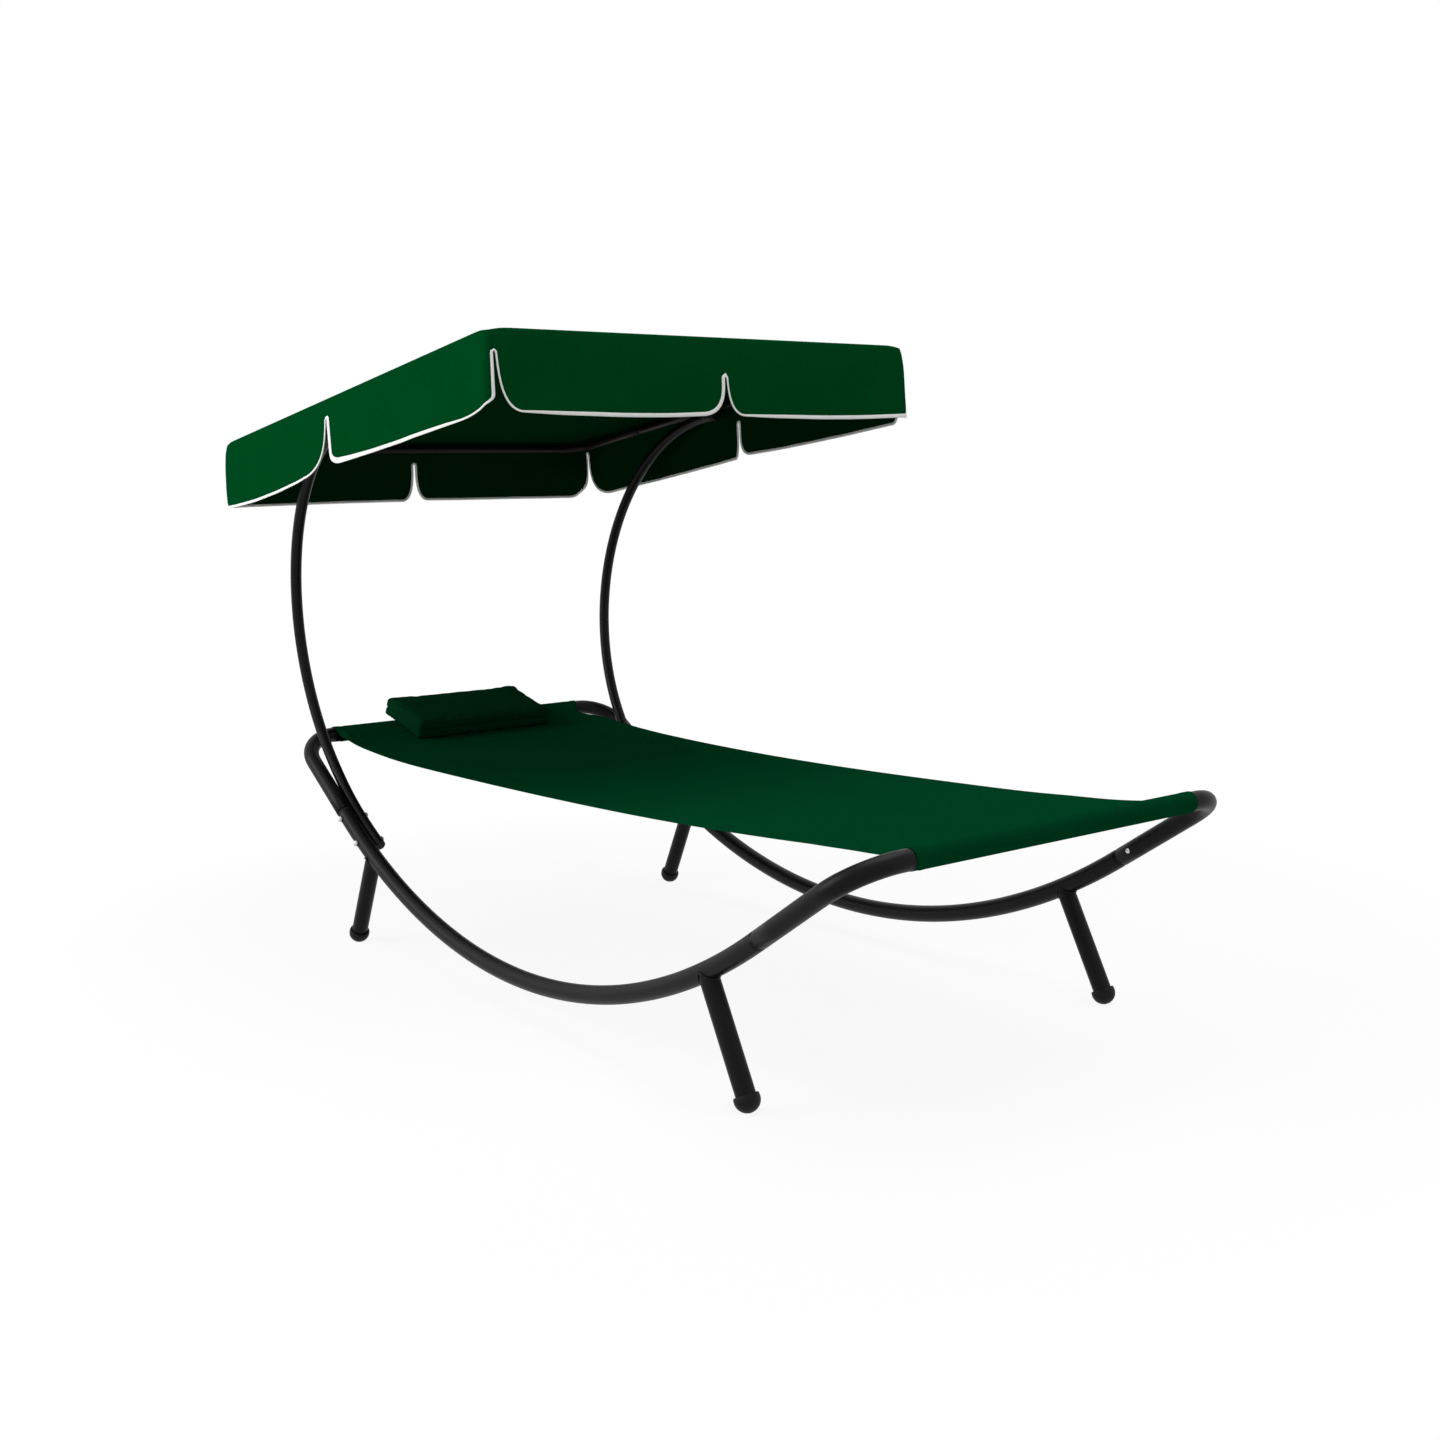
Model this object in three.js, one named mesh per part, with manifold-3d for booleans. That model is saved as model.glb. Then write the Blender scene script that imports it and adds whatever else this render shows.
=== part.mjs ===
// Sun lounger with a tilting canopy, in millimetres, +Z up, head end at -X and foot end at +X.
// Two bent U tubes and two long arcs push together into the bed frame, which stands on four
// splayed legs. A fabric sling hangs between the rails. Two C-shaped poles are bolted to the
// inner faces of the arcs and carry a canopy frame that tilts on a bolt at each pole's top.

import * as THREE from 'three';
import { mergeVertices } from 'three/addons/utils/BufferGeometryUtils.js';
import Module from 'manifold-3d';

const wasm = await Module();
wasm.setup();

// Fits shared by all pieces
const seatGap = 0.3;
const cutOverrun = 20;

// Bed frame tube and its bends
const bedTubeRadius = 17.5;
const bedTubeWall = 1.5;
const bedHalfWidth = 436;
const sideArcRadius = 1381;
const sideArcHalfSpan = 746;
const sideArcLowest = 68;
const endRun = 286;
const cornerRadius = 90;

// Push joints of the bed frame
const jointRun = 14;
const spigotLength = 60;
const swageTaper = 9;
const railScrewSetback = 32;
const railScrewRadius = 2.4;
const railScrewHeadRadius = 4.6;
const railScrewHeadRise = 2.6;
const railScrewLength = 9;

// Legs and their ball-shaped end caps
const legTopHalfSpan = 616;
const legFootHalfSpan = 714;
const footBallRadius = 22.5;
const footFlatDepth = 1.2;
const footRimHeight = 7;
const footPlugLength = 18;

// Canopy poles
const poleRadius = 12.5;
const poleWall = 1.2;
const poleArcRadius = 485;
const poleLeanBlend = 120;
const poleBoltSetback = 22;
const poleBoltSpacing = 88;
const poleFootOverhang = 16;
const poleTopOverhang = 20;
const polePlugRise = 5;
const polePlugLength = 12;
const pivotHeading = THREE.MathUtils.degToRad(4.8);

// Bolts, nuts and washers of the poles
const boltRadius = 4;
const boltHeadRadius = 7.5;
const boltHeadRise = 4.5;
const nutAcrossCorners = 14;
const nutHexHeight = 4.5;
const nutDomeRise = 3.5;
const nutWall = 2;
const washerRadius = 10;
const washerThickness = 1.5;
const holeClearance = 0.3;

// Canopy frame and brackets, measured in the plane of the roof
const roofHalfLength = 642;
const roofHalfWidth = 495;
const roofTilt = THREE.MathUtils.degToRad(6.9);
const roofRise = 34;
const frameTubeRadius = 9.5;
const frameTubeWall = 1.2;
const frameCornerRadius = 60;
const frameLegRun = 300;
const frameSpigotLength = 40;
const frameSwageTaper = 6;
const frameScrewSetback = 14;
const frameScrewRadius = 1.9;
const frameScrewHeadRadius = 3.6;
const frameScrewHeadRise = 2;
const frameScrewLength = 6;
const bracketThickness = 3;
const bracketHalfWidth = 18;
const bracketEndRadius = 13;

// Canopy cover: roof, shoulders and hanging valance
const coverThickness = 2.5;
const coverSeatGap = 0.6;
const shoulderRadius = 12;
const coverCornerRadius = 10;
const roofFlatBorder = 40;
const roofSag = 12;
const valanceDrop = 146;
const valanceBow = 8;
const valanceLean = 6;
const pipingWidth = 8;
const pipingProud = 0.8;
const slitHalfGap = 2;
const slitWrap = 34;

// Slits of each wall, in its own direction: how far the slit is from the wall's middle, how deep
// below the roof it starts, and how far its two edges flare at the hem
const cornerSlit = { top: 38 };
const leftHeadSlit = { before: 20, after: 104 };
const leftSlit = { shift: 84, top: 54, before: 16, after: 45 };
const leftFootSlit = { before: 130, after: 14 };
const rightHeadSlit = { after: 14 };
const rightSlit = { shift: -75, top: 41, before: 112, after: 54 };
const rightFootSlit = { before: 130 };
const footSideSlit = { after: 58 };
const footSlit = { shift: 24, top: 74, before: 50, after: 38 };
const headSideSlit = { after: 14 };
const headSlit = { shift: -7, top: 50, before: 35, after: 34 };

// Sling
const slingThickness = 1.5;
const slingSag = 37;
const sleeveSeamRun = 62;
const sleeveSeamLap = 7;
const slingHeadHalfWidth = 341;
const slingFootHalfWidth = 332;
const slingPinch = 26;

// Pillow
const pillowLength = 192;
const pillowWidth = 372;
const pillowHeight = 40;
const pillowCrown = 7;
const pillowCornerInset = 12;
const pillowPull = 7;
const pillowCrease = 2.5;
const pillowReach = 129;

// Facet counts
const tubeFacets = 12;
const boreFacets = 8;
const frameFacets = 10;
const screwFacets = 8;
const boltFacets = 10;
const ballFacets = 16;
const sleeveFacets = 12;
const sleeveArcSteps = 8;
const sideArcSteps = 14;
const cornerSteps = 5;
const poleArcSteps = 18;
const pillowFacets = 40;
const slingSteps = 14;
const bowSteps = 4;
const cornerFacets = 3;

// Shapes as shares of the sizes that they follow
const slitDepthShares = [0.03, 0.25, 0.5, 0.7, 0.85, 0.95, 1];
const slitGapShares = [0, 0.03, 0.09, 0.2, 0.41, 0.67, 1];
const roofRingShares = [0.72, 0.38];
const roofSagShares = [0.55, 0.9];
const slingRunShares = [0, 0.125, 0.25, 0.5, 0.75, 0.875, 1];
const slingSagShares = [0, 0.73, 1, 0.97, 0.77, 0.53, 0];
const pillowPowerShare = 0.18;

const sides = [{ word: 'left', sign: 1 }, { word: 'right', sign: -1 }];
const ends = [{ word: 'head', sign: -1 }, { word: 'foot', sign: 1 }];

// Sizes worked out from the ones above
const bedBoreRadius = bedTubeRadius - bedTubeWall;
const bedSpigotRadius = bedBoreRadius - seatGap;
const poleBoreRadius = poleRadius - poleWall;
const frameBoreRadius = frameTubeRadius - frameTubeWall;
const frameSpigotRadius = frameBoreRadius - seatGap;
const boltHoleRadius = boltRadius + holeClearance;
const arcHalfAngle = Math.asin(sideArcHalfSpan / sideArcRadius);
const arcHalfRun = sideArcRadius * arcHalfAngle;
const arcCentreHeight = sideArcLowest + sideArcRadius;
const railRun = arcHalfRun + endRun;
const jointPlace = arcHalfRun + jointRun;
const railPlace = sidePlace(railRun);
const poleClampSpread = bedHalfWidth - bedTubeRadius - seatGap - poleRadius;
const frameInset = shoulderRadius + coverSeatGap;
const frameHalfWidth = roofHalfWidth - frameInset;
const poleTopSpread = frameHalfWidth - frameTubeRadius - seatGap - poleRadius;
const poleBoltRuns = { upper: poleBoltSetback, lower: poleBoltSetback + poleBoltSpacing };
const poleFootRun = poleBoltRuns.lower + poleFootOverhang;
const poleLeanStart = sidePlace(poleBoltSetback - jointPlace).z;
const poleCentre = {
  x: -sidePlace(arcHalfRun).x + poleArcRadius * Math.sin(arcHalfAngle),
  z: sidePlace(arcHalfRun).z + poleArcRadius * Math.cos(arcHalfAngle),
};
const pivot = {
  x: poleCentre.x - poleArcRadius * Math.sin(pivotHeading),
  z: poleCentre.z + poleArcRadius * Math.cos(pivotHeading),
};
const poleLeanRate = (poleTopSpread - poleClampSpread) / (pivot.z - poleLeanStart - poleLeanBlend / 2);
const frameHalfLength = roofHalfLength - frameInset * (1 + Math.tan(roofTilt)) - seatGap;
const frameRise = roofRise - frameInset;
const frameJointPlace = frameHalfLength - frameLegRun;
const washerSeat = poleTopSpread + poleRadius + seatGap;
const bracketSeat = washerSeat + washerThickness + seatGap;
const bracketOutside = bracketSeat + bracketThickness;
const sleeveBore = (bedTubeRadius + seatGap) / Math.cos(Math.PI / sleeveFacets);
const sleeveRadius = sleeveBore + slingThickness;
const cornerSlitInset = coverCornerRadius * (1 - Math.SQRT1_2);
const wallReach = cornerSlitInset + coverThickness + pipingProud;

const slingProfile = new THREE.CubicInterpolant(slingRunShares, slingSagShares, 1);

const paint = new THREE.MeshStandardMaterial({ color: 0x1c1c1e, roughness: 0.42, metalness: 0.3 });
const plastic = new THREE.MeshStandardMaterial({ color: 0x141416, roughness: 0.6, metalness: 0 });
const zinc = new THREE.MeshStandardMaterial({ color: 0xc9ccd0, roughness: 0.25, metalness: 1 });
const slingCloth = new THREE.MeshStandardMaterial({ color: 0x0a3f25, roughness: 0.9, metalness: 0 });
const roofCloth = new THREE.MeshStandardMaterial({ color: 0x01451e, roughness: 0.85, metalness: 0 });
const pillowCloth = new THREE.MeshStandardMaterial({ color: 0x053019, roughness: 0.9, metalness: 0 });
const binding = new THREE.MeshStandardMaterial({ color: 0xf2f2f0, roughness: 0.8, metalness: 0 });

// A place on the side tube's centre line, at a signed length from its lowest point: an arc in
// the middle, and straight along the arc's end tangents beyond it.
function sidePlace(run) {
  const bent = THREE.MathUtils.clamp(run, -arcHalfRun, arcHalfRun);
  const angle = bent / sideArcRadius;
  const spare = run - bent;
  return {
    x: sideArcRadius * Math.sin(angle) + spare * Math.cos(angle),
    z: arcCentreHeight - sideArcRadius * Math.cos(angle) + spare * Math.sin(angle),
    angle,
  };
}

// Geometry with only welded positions, no collapsed triangles, and faces that point out.
function welded(source) {
  const bare = source.index ? source.toNonIndexed() : source.clone();
  bare.deleteAttribute('normal');
  bare.deleteAttribute('uv');
  const merged = mergeVertices(bare);
  const at = merged.attributes.position;
  const [a, b, c] = [new THREE.Vector3(), new THREE.Vector3(), new THREE.Vector3()];
  const kept = [];
  let volume = 0;
  for (let i = 0; i < merged.index.count; i += 3) {
    const [p, q, r] = [0, 1, 2].map((k) => merged.index.getX(i + k));
    if (p === q || q === r || r === p) continue;
    kept.push(p, q, r);
    [a, b, c].forEach((corner, k) => corner.fromBufferAttribute(at, [p, q, r][k]));
    volume += a.dot(b.cross(c));
  }
  if (volume < 0) kept.reverse();
  merged.setIndex(kept);
  return merged;
}

function geometryOf(points, faces) {
  const geometry = new THREE.BufferGeometry();
  const flat = points.flatMap((p) => [p.x, p.y, p.z]);
  geometry.setAttribute('position', new THREE.Float32BufferAttribute(flat, 3));
  geometry.setIndex(faces.flat());
  return geometry;
}

function solidOf(geometry) {
  const clean = welded(geometry);
  const mesh = new wasm.Mesh({
    numProp: 3,
    vertProperties: new Float32Array(clean.attributes.position.array),
    triVerts: new Uint32Array(clean.index.array),
  });
  return new wasm.Manifold(mesh);
}

function geometryFrom(solid) {
  const { vertProperties, triVerts } = solid.getMesh();
  const geometry = new THREE.BufferGeometry();
  geometry.setAttribute('position', new THREE.BufferAttribute(new Float32Array(vertProperties), 3));
  geometry.setIndex(new THREE.BufferAttribute(new Uint32Array(triVerts), 1));
  return geometry;
}

function cut(geometry, ...tools) {
  const rest = tools.reduce((solid, tool) => solid.subtract(solidOf(tool)), solidOf(geometry));
  return geometryFrom(rest);
}

function joined(...parts) {
  return geometryFrom(parts.map(solidOf).reduce((sum, part) => sum.add(part)));
}

function common(geometry, tool) {
  return geometryFrom(solidOf(geometry).intersect(solidOf(tool)));
}

// Moves every point of a geometry by a rule, so a straight form takes a lean, a sag or a hang.
function reshaped(geometry, rule) {
  const at = geometry.attributes.position;
  const point = new THREE.Vector3();
  for (let i = 0; i < at.count; i += 1) {
    rule(point.fromBufferAttribute(at, i));
    at.setXYZ(i, point.x, point.y, point.z);
  }
  return geometry;
}

// The other side's copy of a piece: Y turned over, and the faces' winding with it.
function mirrored(geometry) {
  const copy = reshaped(welded(geometry), (p) => { p.y = -p.y; });
  copy.setIndex([...copy.index.array].reverse());
  return copy;
}

function forSide(geometry, side) {
  return side.sign > 0 ? geometry : mirrored(geometry);
}

// Follows a bent tube in a plane, from a start with a heading. Each step is a straight run or a
// bend with a radius and an angle, positive to the left, and may change the tube's radii.
function bendRoute(start, steps) {
  const stations = [{ ...start }];
  let { x, y, heading } = start;
  for (const { run = 0, radius = 0, angle = 0, count = 1, ...size } of steps) {
    for (let i = 0; i < count; i += 1) {
      const turn = angle / count;
      const reach = Math.sign(turn) * radius;
      x += (run / count) * Math.cos(heading) + reach * (Math.sin(heading + turn) - Math.sin(heading));
      y += (run / count) * Math.sin(heading) - reach * (Math.cos(heading + turn) - Math.cos(heading));
      heading += turn;
      stations.push({ x, y, heading, ...size });
    }
  }
  return stations;
}

// A plane that a route is drawn in: where its zero lies and its two directions.
function routePlane(origin, along, across) {
  return { origin, along, across, normal: new THREE.Vector3().crossVectors(along, across) };
}

function uprightPlane(y) {
  return routePlane(new THREE.Vector3(0, y, 0), new THREE.Vector3(1, 0, 0), new THREE.Vector3(0, 0, 1));
}

function ringPoints(station, plane, radius, count) {
  return Array.from({ length: count }, (_, k) => {
    const angle = (2 * Math.PI * k) / count;
    const inPlane = radius * Math.cos(angle);
    const x = station.x - inPlane * Math.sin(station.heading);
    const y = station.y + inPlane * Math.cos(station.heading);
    return plane.origin.clone().addScaledVector(plane.along, x).addScaledVector(plane.across, y)
      .addScaledVector(plane.normal, radius * Math.sin(angle));
  });
}

// Quads between neighbouring rings, each given by the index of its first point.
function stitch(faces, starts, count, inward) {
  for (let i = 1; i < starts.length; i += 1) {
    for (let k = 0; k < count; k += 1) {
      const next = (k + 1) % count;
      const [a, b, c, d] = [starts[i - 1] + k, starts[i - 1] + next, starts[i] + next, starts[i] + k];
      faces.push(inward ? [a, c, b] : [a, b, c], inward ? [a, d, c] : [a, c, d]);
    }
  }
}

function circleOutline(radius, count) {
  return Array.from({ length: count }, (_, k) => {
    const angle = (2 * Math.PI * k) / count;
    return new THREE.Vector2(radius * Math.cos(angle), radius * Math.sin(angle));
  });
}

// The flat end of a tube, between its outline and its bore.
function endFaces(outline, bore, indexOf, forward) {
  const flat = [...outline, ...bore];
  return THREE.ShapeUtils.triangulateShape(outline, bore.length ? [bore] : []).map((face) => {
    const turns = THREE.ShapeUtils.area(face.map((i) => flat[i])) > 0;
    const [a, b, c] = face.map(indexOf);
    return turns === forward ? [a, b, c] : [a, c, b];
  });
}

// A round tube along a route, with a bore where the section names one.
function sweptTube(stations, plane, { outer, bore = 0, facets = tubeFacets, inside = boreFacets }) {
  const points = [];
  const faces = [];
  const wall = (radiusOf, count) => stations.map((station) => {
    points.push(...ringPoints(station, plane, radiusOf(station), count));
    return points.length - count;
  });
  const skin = wall((station) => station.outer ?? outer, facets);
  stitch(faces, skin, facets, false);
  const core = bore ? wall((station) => station.bore ?? bore, inside) : [];
  stitch(faces, core, inside, true);
  for (const [end, forward] of [[0, false], [stations.length - 1, true]]) {
    const station = stations[end];
    const outline = circleOutline(station.outer ?? outer, facets);
    const hole = bore ? circleOutline(station.bore ?? bore, inside) : [];
    const indexOf = (i) => (i < facets ? skin[end] + i : core[end] + i - facets);
    faces.push(...endFaces(outline, hole, indexOf, forward));
  }
  return geometryOf(points, faces);
}

// A closed form through a stack of rings with the same number of points, closed by a middle
// point at each end.
function stackedRings(rings, firstPole, lastPole) {
  const count = rings[0].length;
  const points = [firstPole, ...rings.flat(), lastPole];
  const faces = [];
  const starts = rings.map((_, i) => 1 + i * count);
  stitch(faces, starts, count, false);
  const last = points.length - 1;
  for (let k = 0; k < count; k += 1) {
    const next = (k + 1) % count;
    faces.push([0, starts[0] + next, starts[0] + k]);
    faces.push([last, starts.at(-1) + k, starts.at(-1) + next]);
  }
  return welded(geometryOf(points, faces));
}

// A turned piece with its axis along +Z, from pairs of radius and height.
function turned(profile, facets) {
  const outline = profile.map(([radius, height]) => new THREE.Vector2(radius, height));
  return welded(new THREE.LatheGeometry(outline, facets)).rotateX(Math.PI / 2);
}

function arcProfile(radius, from, to, count, centre = 0) {
  return Array.from({ length: count + 1 }, (_, i) => {
    const angle = from + ((to - from) * i) / count;
    return [Math.max(0, radius * Math.cos(angle)), centre + radius * Math.sin(angle)];
  });
}

// A round cutter centred at a place, along a direction, or across the object where none is given.
function drill(radius, length, place, direction = new THREE.Vector3(0, 1, 0)) {
  const turn = new THREE.Quaternion().setFromUnitVectors(new THREE.Vector3(0, 1, 0), direction);
  return new THREE.CylinderGeometry(radius, radius, length, boltFacets)
    .applyQuaternion(turn).translate(place.x, place.y, place.z);
}

function addPiece(group, name, geometry, material) {
  const mesh = new THREE.Mesh(geometry, material);
  mesh.name = name;
  group.add(mesh);
  return mesh;
}

// Turns a piece whose axis is +Z so that the axis points along a direction, and seats it.
function seat(mesh, place, direction) {
  mesh.position.set(place.x, place.y, place.z);
  mesh.quaternion.setFromUnitVectors(new THREE.Vector3(0, 0, 1), direction);
}

const outwards = (side) => new THREE.Vector3(0, side.sign, 0);
const inwards = (side) => new THREE.Vector3(0, -side.sign, 0);

// One side of the bed: a long arc whose two ends are swaged down to push into the U tubes.
function sideTube() {
  const straight = jointRun - swageTaper - seatGap;
  const spigot = { outer: bedSpigotRadius, bore: bedSpigotRadius - bedTubeWall };
  const full = { outer: bedTubeRadius, bore: bedBoreRadius };
  const tip = sidePlace(-(jointPlace + spigotLength));
  const start = { x: tip.x, y: tip.z, heading: -arcHalfAngle, ...spigot };
  const route = bendRoute(start, [
    { run: spigotLength + seatGap, ...spigot },
    { run: swageTaper, ...full },
    { run: straight, ...full },
    { radius: sideArcRadius, angle: 2 * arcHalfAngle, count: sideArcSteps, ...full },
    { run: straight, ...full },
    { run: swageTaper, ...spigot },
    { run: spigotLength + seatGap, ...spigot },
  ]);
  const tube = sweptTube(route, uprightPlane(bedHalfWidth), full);
  const screws = ends.map((end) => railScrewDrill(end));
  return cut(tube, ...screws, ...Object.values(poleBoltRuns).map(poleBoltDrill));
}

// The screw that holds a push joint: on the left side's inner face at the foot end, and from
// below at the head end, where a pole lies against the inner face.
function railScrewSpot(end) {
  const { x, z, angle } = sidePlace(end.sign * (jointPlace + railScrewSetback));
  const below = new THREE.Vector3(Math.sin(angle), 0, -Math.cos(angle));
  const direction = end.sign < 0 ? below : new THREE.Vector3(0, -1, 0);
  const place = new THREE.Vector3(x, bedHalfWidth, z).addScaledVector(direction, bedTubeRadius);
  return { place, direction };
}

function railScrewDrill(end) {
  const { place, direction } = railScrewSpot(end);
  return drill(railScrewRadius + holeClearance, bedTubeRadius, place, direction);
}

// The place where a bolt crosses the side tube, at a run from the head joint.
function poleBoltPlace(run) {
  return sidePlace(run - jointPlace);
}

function poleBoltDrill(run) {
  const { x, z } = poleBoltPlace(run);
  const length = 2 * (bedTubeRadius + 2 * poleRadius + cutOverrun);
  return drill(boltHoleRadius, length, { x, y: bedHalfWidth, z });
}

// One end of the bed: leg, bend, rail, bend and leg in the plane of the side's end tangent.
function railTube(end) {
  const leg = railRun - jointPlace - cornerRadius;
  const rail = 2 * (bedHalfWidth - cornerRadius);
  const joint = sidePlace(end.sign * jointPlace);
  const along = new THREE.Vector3(end.sign * Math.cos(arcHalfAngle), 0, Math.sin(arcHalfAngle));
  const origin = new THREE.Vector3(joint.x, 0, joint.z);
  const bend = { radius: cornerRadius, angle: Math.PI / 2, count: cornerSteps };
  const route = bendRoute({ x: 0, y: -bedHalfWidth, heading: 0 }, [
    { run: leg }, bend, { run: rail }, bend, { run: leg },
  ]);
  const plane = routePlane(origin, along, new THREE.Vector3(0, 1, 0));
  const section = { outer: bedTubeRadius, bore: bedBoreRadius, inside: tubeFacets };
  const drill = railScrewDrill(end);
  return cut(sweptTube(route, plane, section), drill, mirrored(drill));
}

function legLine() {
  const ball = { x: legFootHalfSpan, z: footBallRadius - footFlatDepth };
  const topAngle = Math.asin(legTopHalfSpan / sideArcRadius);
  const top = { x: legTopHalfSpan, z: arcCentreHeight - sideArcRadius * Math.cos(topAngle) };
  const length = Math.hypot(top.x - ball.x, top.z - ball.z);
  return { ball, length, heading: Math.atan2(top.z - ball.z, top.x - ball.x) };
}

// A leg: a straight tube whose top is saddle cut to sit under the side tube.
function legTube() {
  const { ball, length, heading } = legLine();
  const lift = footRimHeight + seatGap;
  const start = { x: ball.x + lift * Math.cos(heading), y: ball.z + lift * Math.sin(heading), heading };
  const route = bendRoute(start, [{ run: length - lift }]);
  const plane = uprightPlane(bedHalfWidth);
  const tube = sweptTube(route, plane, { outer: bedTubeRadius, bore: bedBoreRadius });
  const bottom = { x: 0, y: sideArcLowest, heading: 0 };
  const above = bendRoute(bottom, [{ radius: sideArcRadius, angle: arcHalfAngle, count: sideArcSteps }]);
  return cut(tube, sweptTube(above, plane, { outer: bedTubeRadius + seatGap }));
}

// The plug of an end cap stays clear of the flats of the bore that it goes into.
function plugRadius(bore, count) {
  return bore * Math.cos(Math.PI / count) - seatGap;
}

// A ball-shaped cap: a plug in the leg, a rim under the leg's end, and a ball with a worn flat.
function footCap() {
  const { ball, heading } = legLine();
  const rimAngle = Math.asin(footRimHeight / footBallRadius);
  const plug = plugRadius(bedBoreRadius, boreFacets);
  const profile = [
    ...arcProfile(footBallRadius, -Math.PI / 2, rimAngle, boreFacets),
    [plug, footRimHeight], [plug, footRimHeight + footPlugLength], [0, footRimHeight + footPlugLength],
  ];
  const cap = turned(profile, ballFacets).rotateY(Math.PI / 2 - heading)
    .translate(ball.x, bedHalfWidth, ball.z);
  const span = 4 * footBallRadius;
  const ground = new THREE.BoxGeometry(span, span, span).translate(ball.x, bedHalfWidth, -span / 2);
  return cut(cap, ground);
}

function forEnd(geometry, end) {
  return end.sign > 0 ? geometry : mirrored(welded(geometry).rotateZ(Math.PI));
}

// How far a pole leans outward at a height: none at its clamp, then steadily after a blend.
function poleLean(height) {
  const above = Math.max(0, height - poleLeanStart);
  const blended = Math.min(above, poleLeanBlend);
  return poleLeanRate * (above - blended + (blended * blended) / (2 * poleLeanBlend));
}

function poleRoute() {
  const foot = poleBoltPlace(poleFootRun);
  const clampAngle = -foot.angle - arcHalfAngle;
  const topAngle = pivotHeading - (Math.PI - arcHalfAngle);
  const start = { x: foot.x, y: foot.z, heading: Math.PI + foot.angle };
  return bendRoute(start, [
    { radius: sideArcRadius, angle: clampAngle, count: 3 },
    { radius: poleArcRadius, angle: topAngle, count: poleArcSteps },
    { run: poleTopOverhang },
  ]);
}

// A canopy pole: it follows the side tube at its foot, then bends up and over in one arc.
function poleTube() {
  const section = { outer: poleRadius, bore: poleBoreRadius };
  const tube = sweptTube(poleRoute(), uprightPlane(poleClampSpread), section);
  const leaning = reshaped(tube, (p) => { p.y += poleLean(p.z); });
  const reach = 4 * poleRadius;
  const pivotDrill = drill(boltHoleRadius, reach, { x: pivot.x, y: poleTopSpread, z: pivot.z });
  return cut(leaning, pivotDrill, ...Object.values(poleBoltRuns).map(poleBoltDrill));
}

// An end plug of a pole, leaning as the pole does: a head outside it and a stem in its bore.
function polePlug(station, way) {
  const stem = plugRadius(poleBoreRadius, boreFacets);
  const round = polePlugRise / 2;
  const plug = turned([
    [0, -polePlugLength], [stem, -polePlugLength], [stem, seatGap], [poleRadius, seatGap],
    [poleRadius, round], [poleRadius - round, polePlugRise], [0, polePlugRise],
  ], tubeFacets);
  const along = new THREE.Vector3(way * Math.cos(station.heading), 0, way * Math.sin(station.heading));
  plug.applyQuaternion(new THREE.Quaternion().setFromUnitVectors(new THREE.Vector3(0, 0, 1), along));
  plug.translate(station.x, poleClampSpread, station.y);
  return reshaped(plug, (p) => { p.y += poleLean(p.z); });
}

// A dome-headed bolt: the head's seat is at zero and the shank runs down from it.
function domeBolt(radius, length, headRadius, headRise, facets) {
  return turned([
    [0, -length], [radius, -length], [radius, 0], [headRadius, 0],
    [0.9 * headRadius, 0.45 * headRise], [0.55 * headRadius, 0.85 * headRise], [0, headRise],
  ], facets);
}

// A cap nut: a hexagon with a dome on it, and a blind thread hole from its seat at zero.
function capNut() {
  const hex = new THREE.CylinderGeometry(nutAcrossCorners / 2, nutAcrossCorners / 2, nutHexHeight, 6)
    .rotateX(Math.PI / 2).translate(0, 0, nutHexHeight / 2);
  const domeRadius = (nutAcrossCorners / 2) * Math.cos(Math.PI / 6);
  const dome = turned([
    [0, nutHexHeight / 2], [domeRadius, nutHexHeight / 2], [domeRadius, nutHexHeight],
    [0.75 * domeRadius, nutHexHeight + 0.7 * nutDomeRise], [0, nutHexHeight + nutDomeRise],
  ], boltFacets);
  const depth = nutHexHeight + nutDomeRise - nutWall;
  const thread = new THREE.CylinderGeometry(boltHoleRadius, boltHoleRadius, depth + cutOverrun, boltFacets)
    .rotateX(Math.PI / 2).translate(0, 0, (depth - cutOverrun) / 2);
  return cut(joined(hex, dome), thread);
}

function washer() {
  const disc = new THREE.CylinderGeometry(washerRadius, washerRadius, washerThickness, tubeFacets);
  const hole = new THREE.CylinderGeometry(boltHoleRadius, boltHoleRadius, cutOverrun, boltFacets);
  return cut(disc.rotateX(Math.PI / 2), hole.rotateX(Math.PI / 2));
}

// One end of the canopy frame: leg, bend, rail, bend and leg, flat in the roof's plane.
function canopyEndTube(end) {
  const leg = frameLegRun - frameCornerRadius;
  const rail = 2 * (frameHalfWidth - frameCornerRadius);
  const bend = { radius: frameCornerRadius, angle: end.sign * (Math.PI / 2), count: cornerSteps };
  const heading = end.sign > 0 ? 0 : Math.PI;
  const start = { x: end.sign * frameJointPlace, y: -frameHalfWidth, heading };
  const route = bendRoute(start, [{ run: leg }, bend, { run: rail }, bend, { run: leg }]);
  const facets = { facets: frameFacets, inside: frameFacets };
  const tube = sweptTube(route, canopyPlane(), { outer: frameTubeRadius, bore: frameBoreRadius, ...facets });
  return cut(tube, ...sides.map((side) => frameScrewDrill(side, end)));
}

function canopyPlane() {
  const origin = new THREE.Vector3(0, 0, frameRise);
  return routePlane(origin, new THREE.Vector3(1, 0, 0), new THREE.Vector3(0, 1, 0));
}

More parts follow.
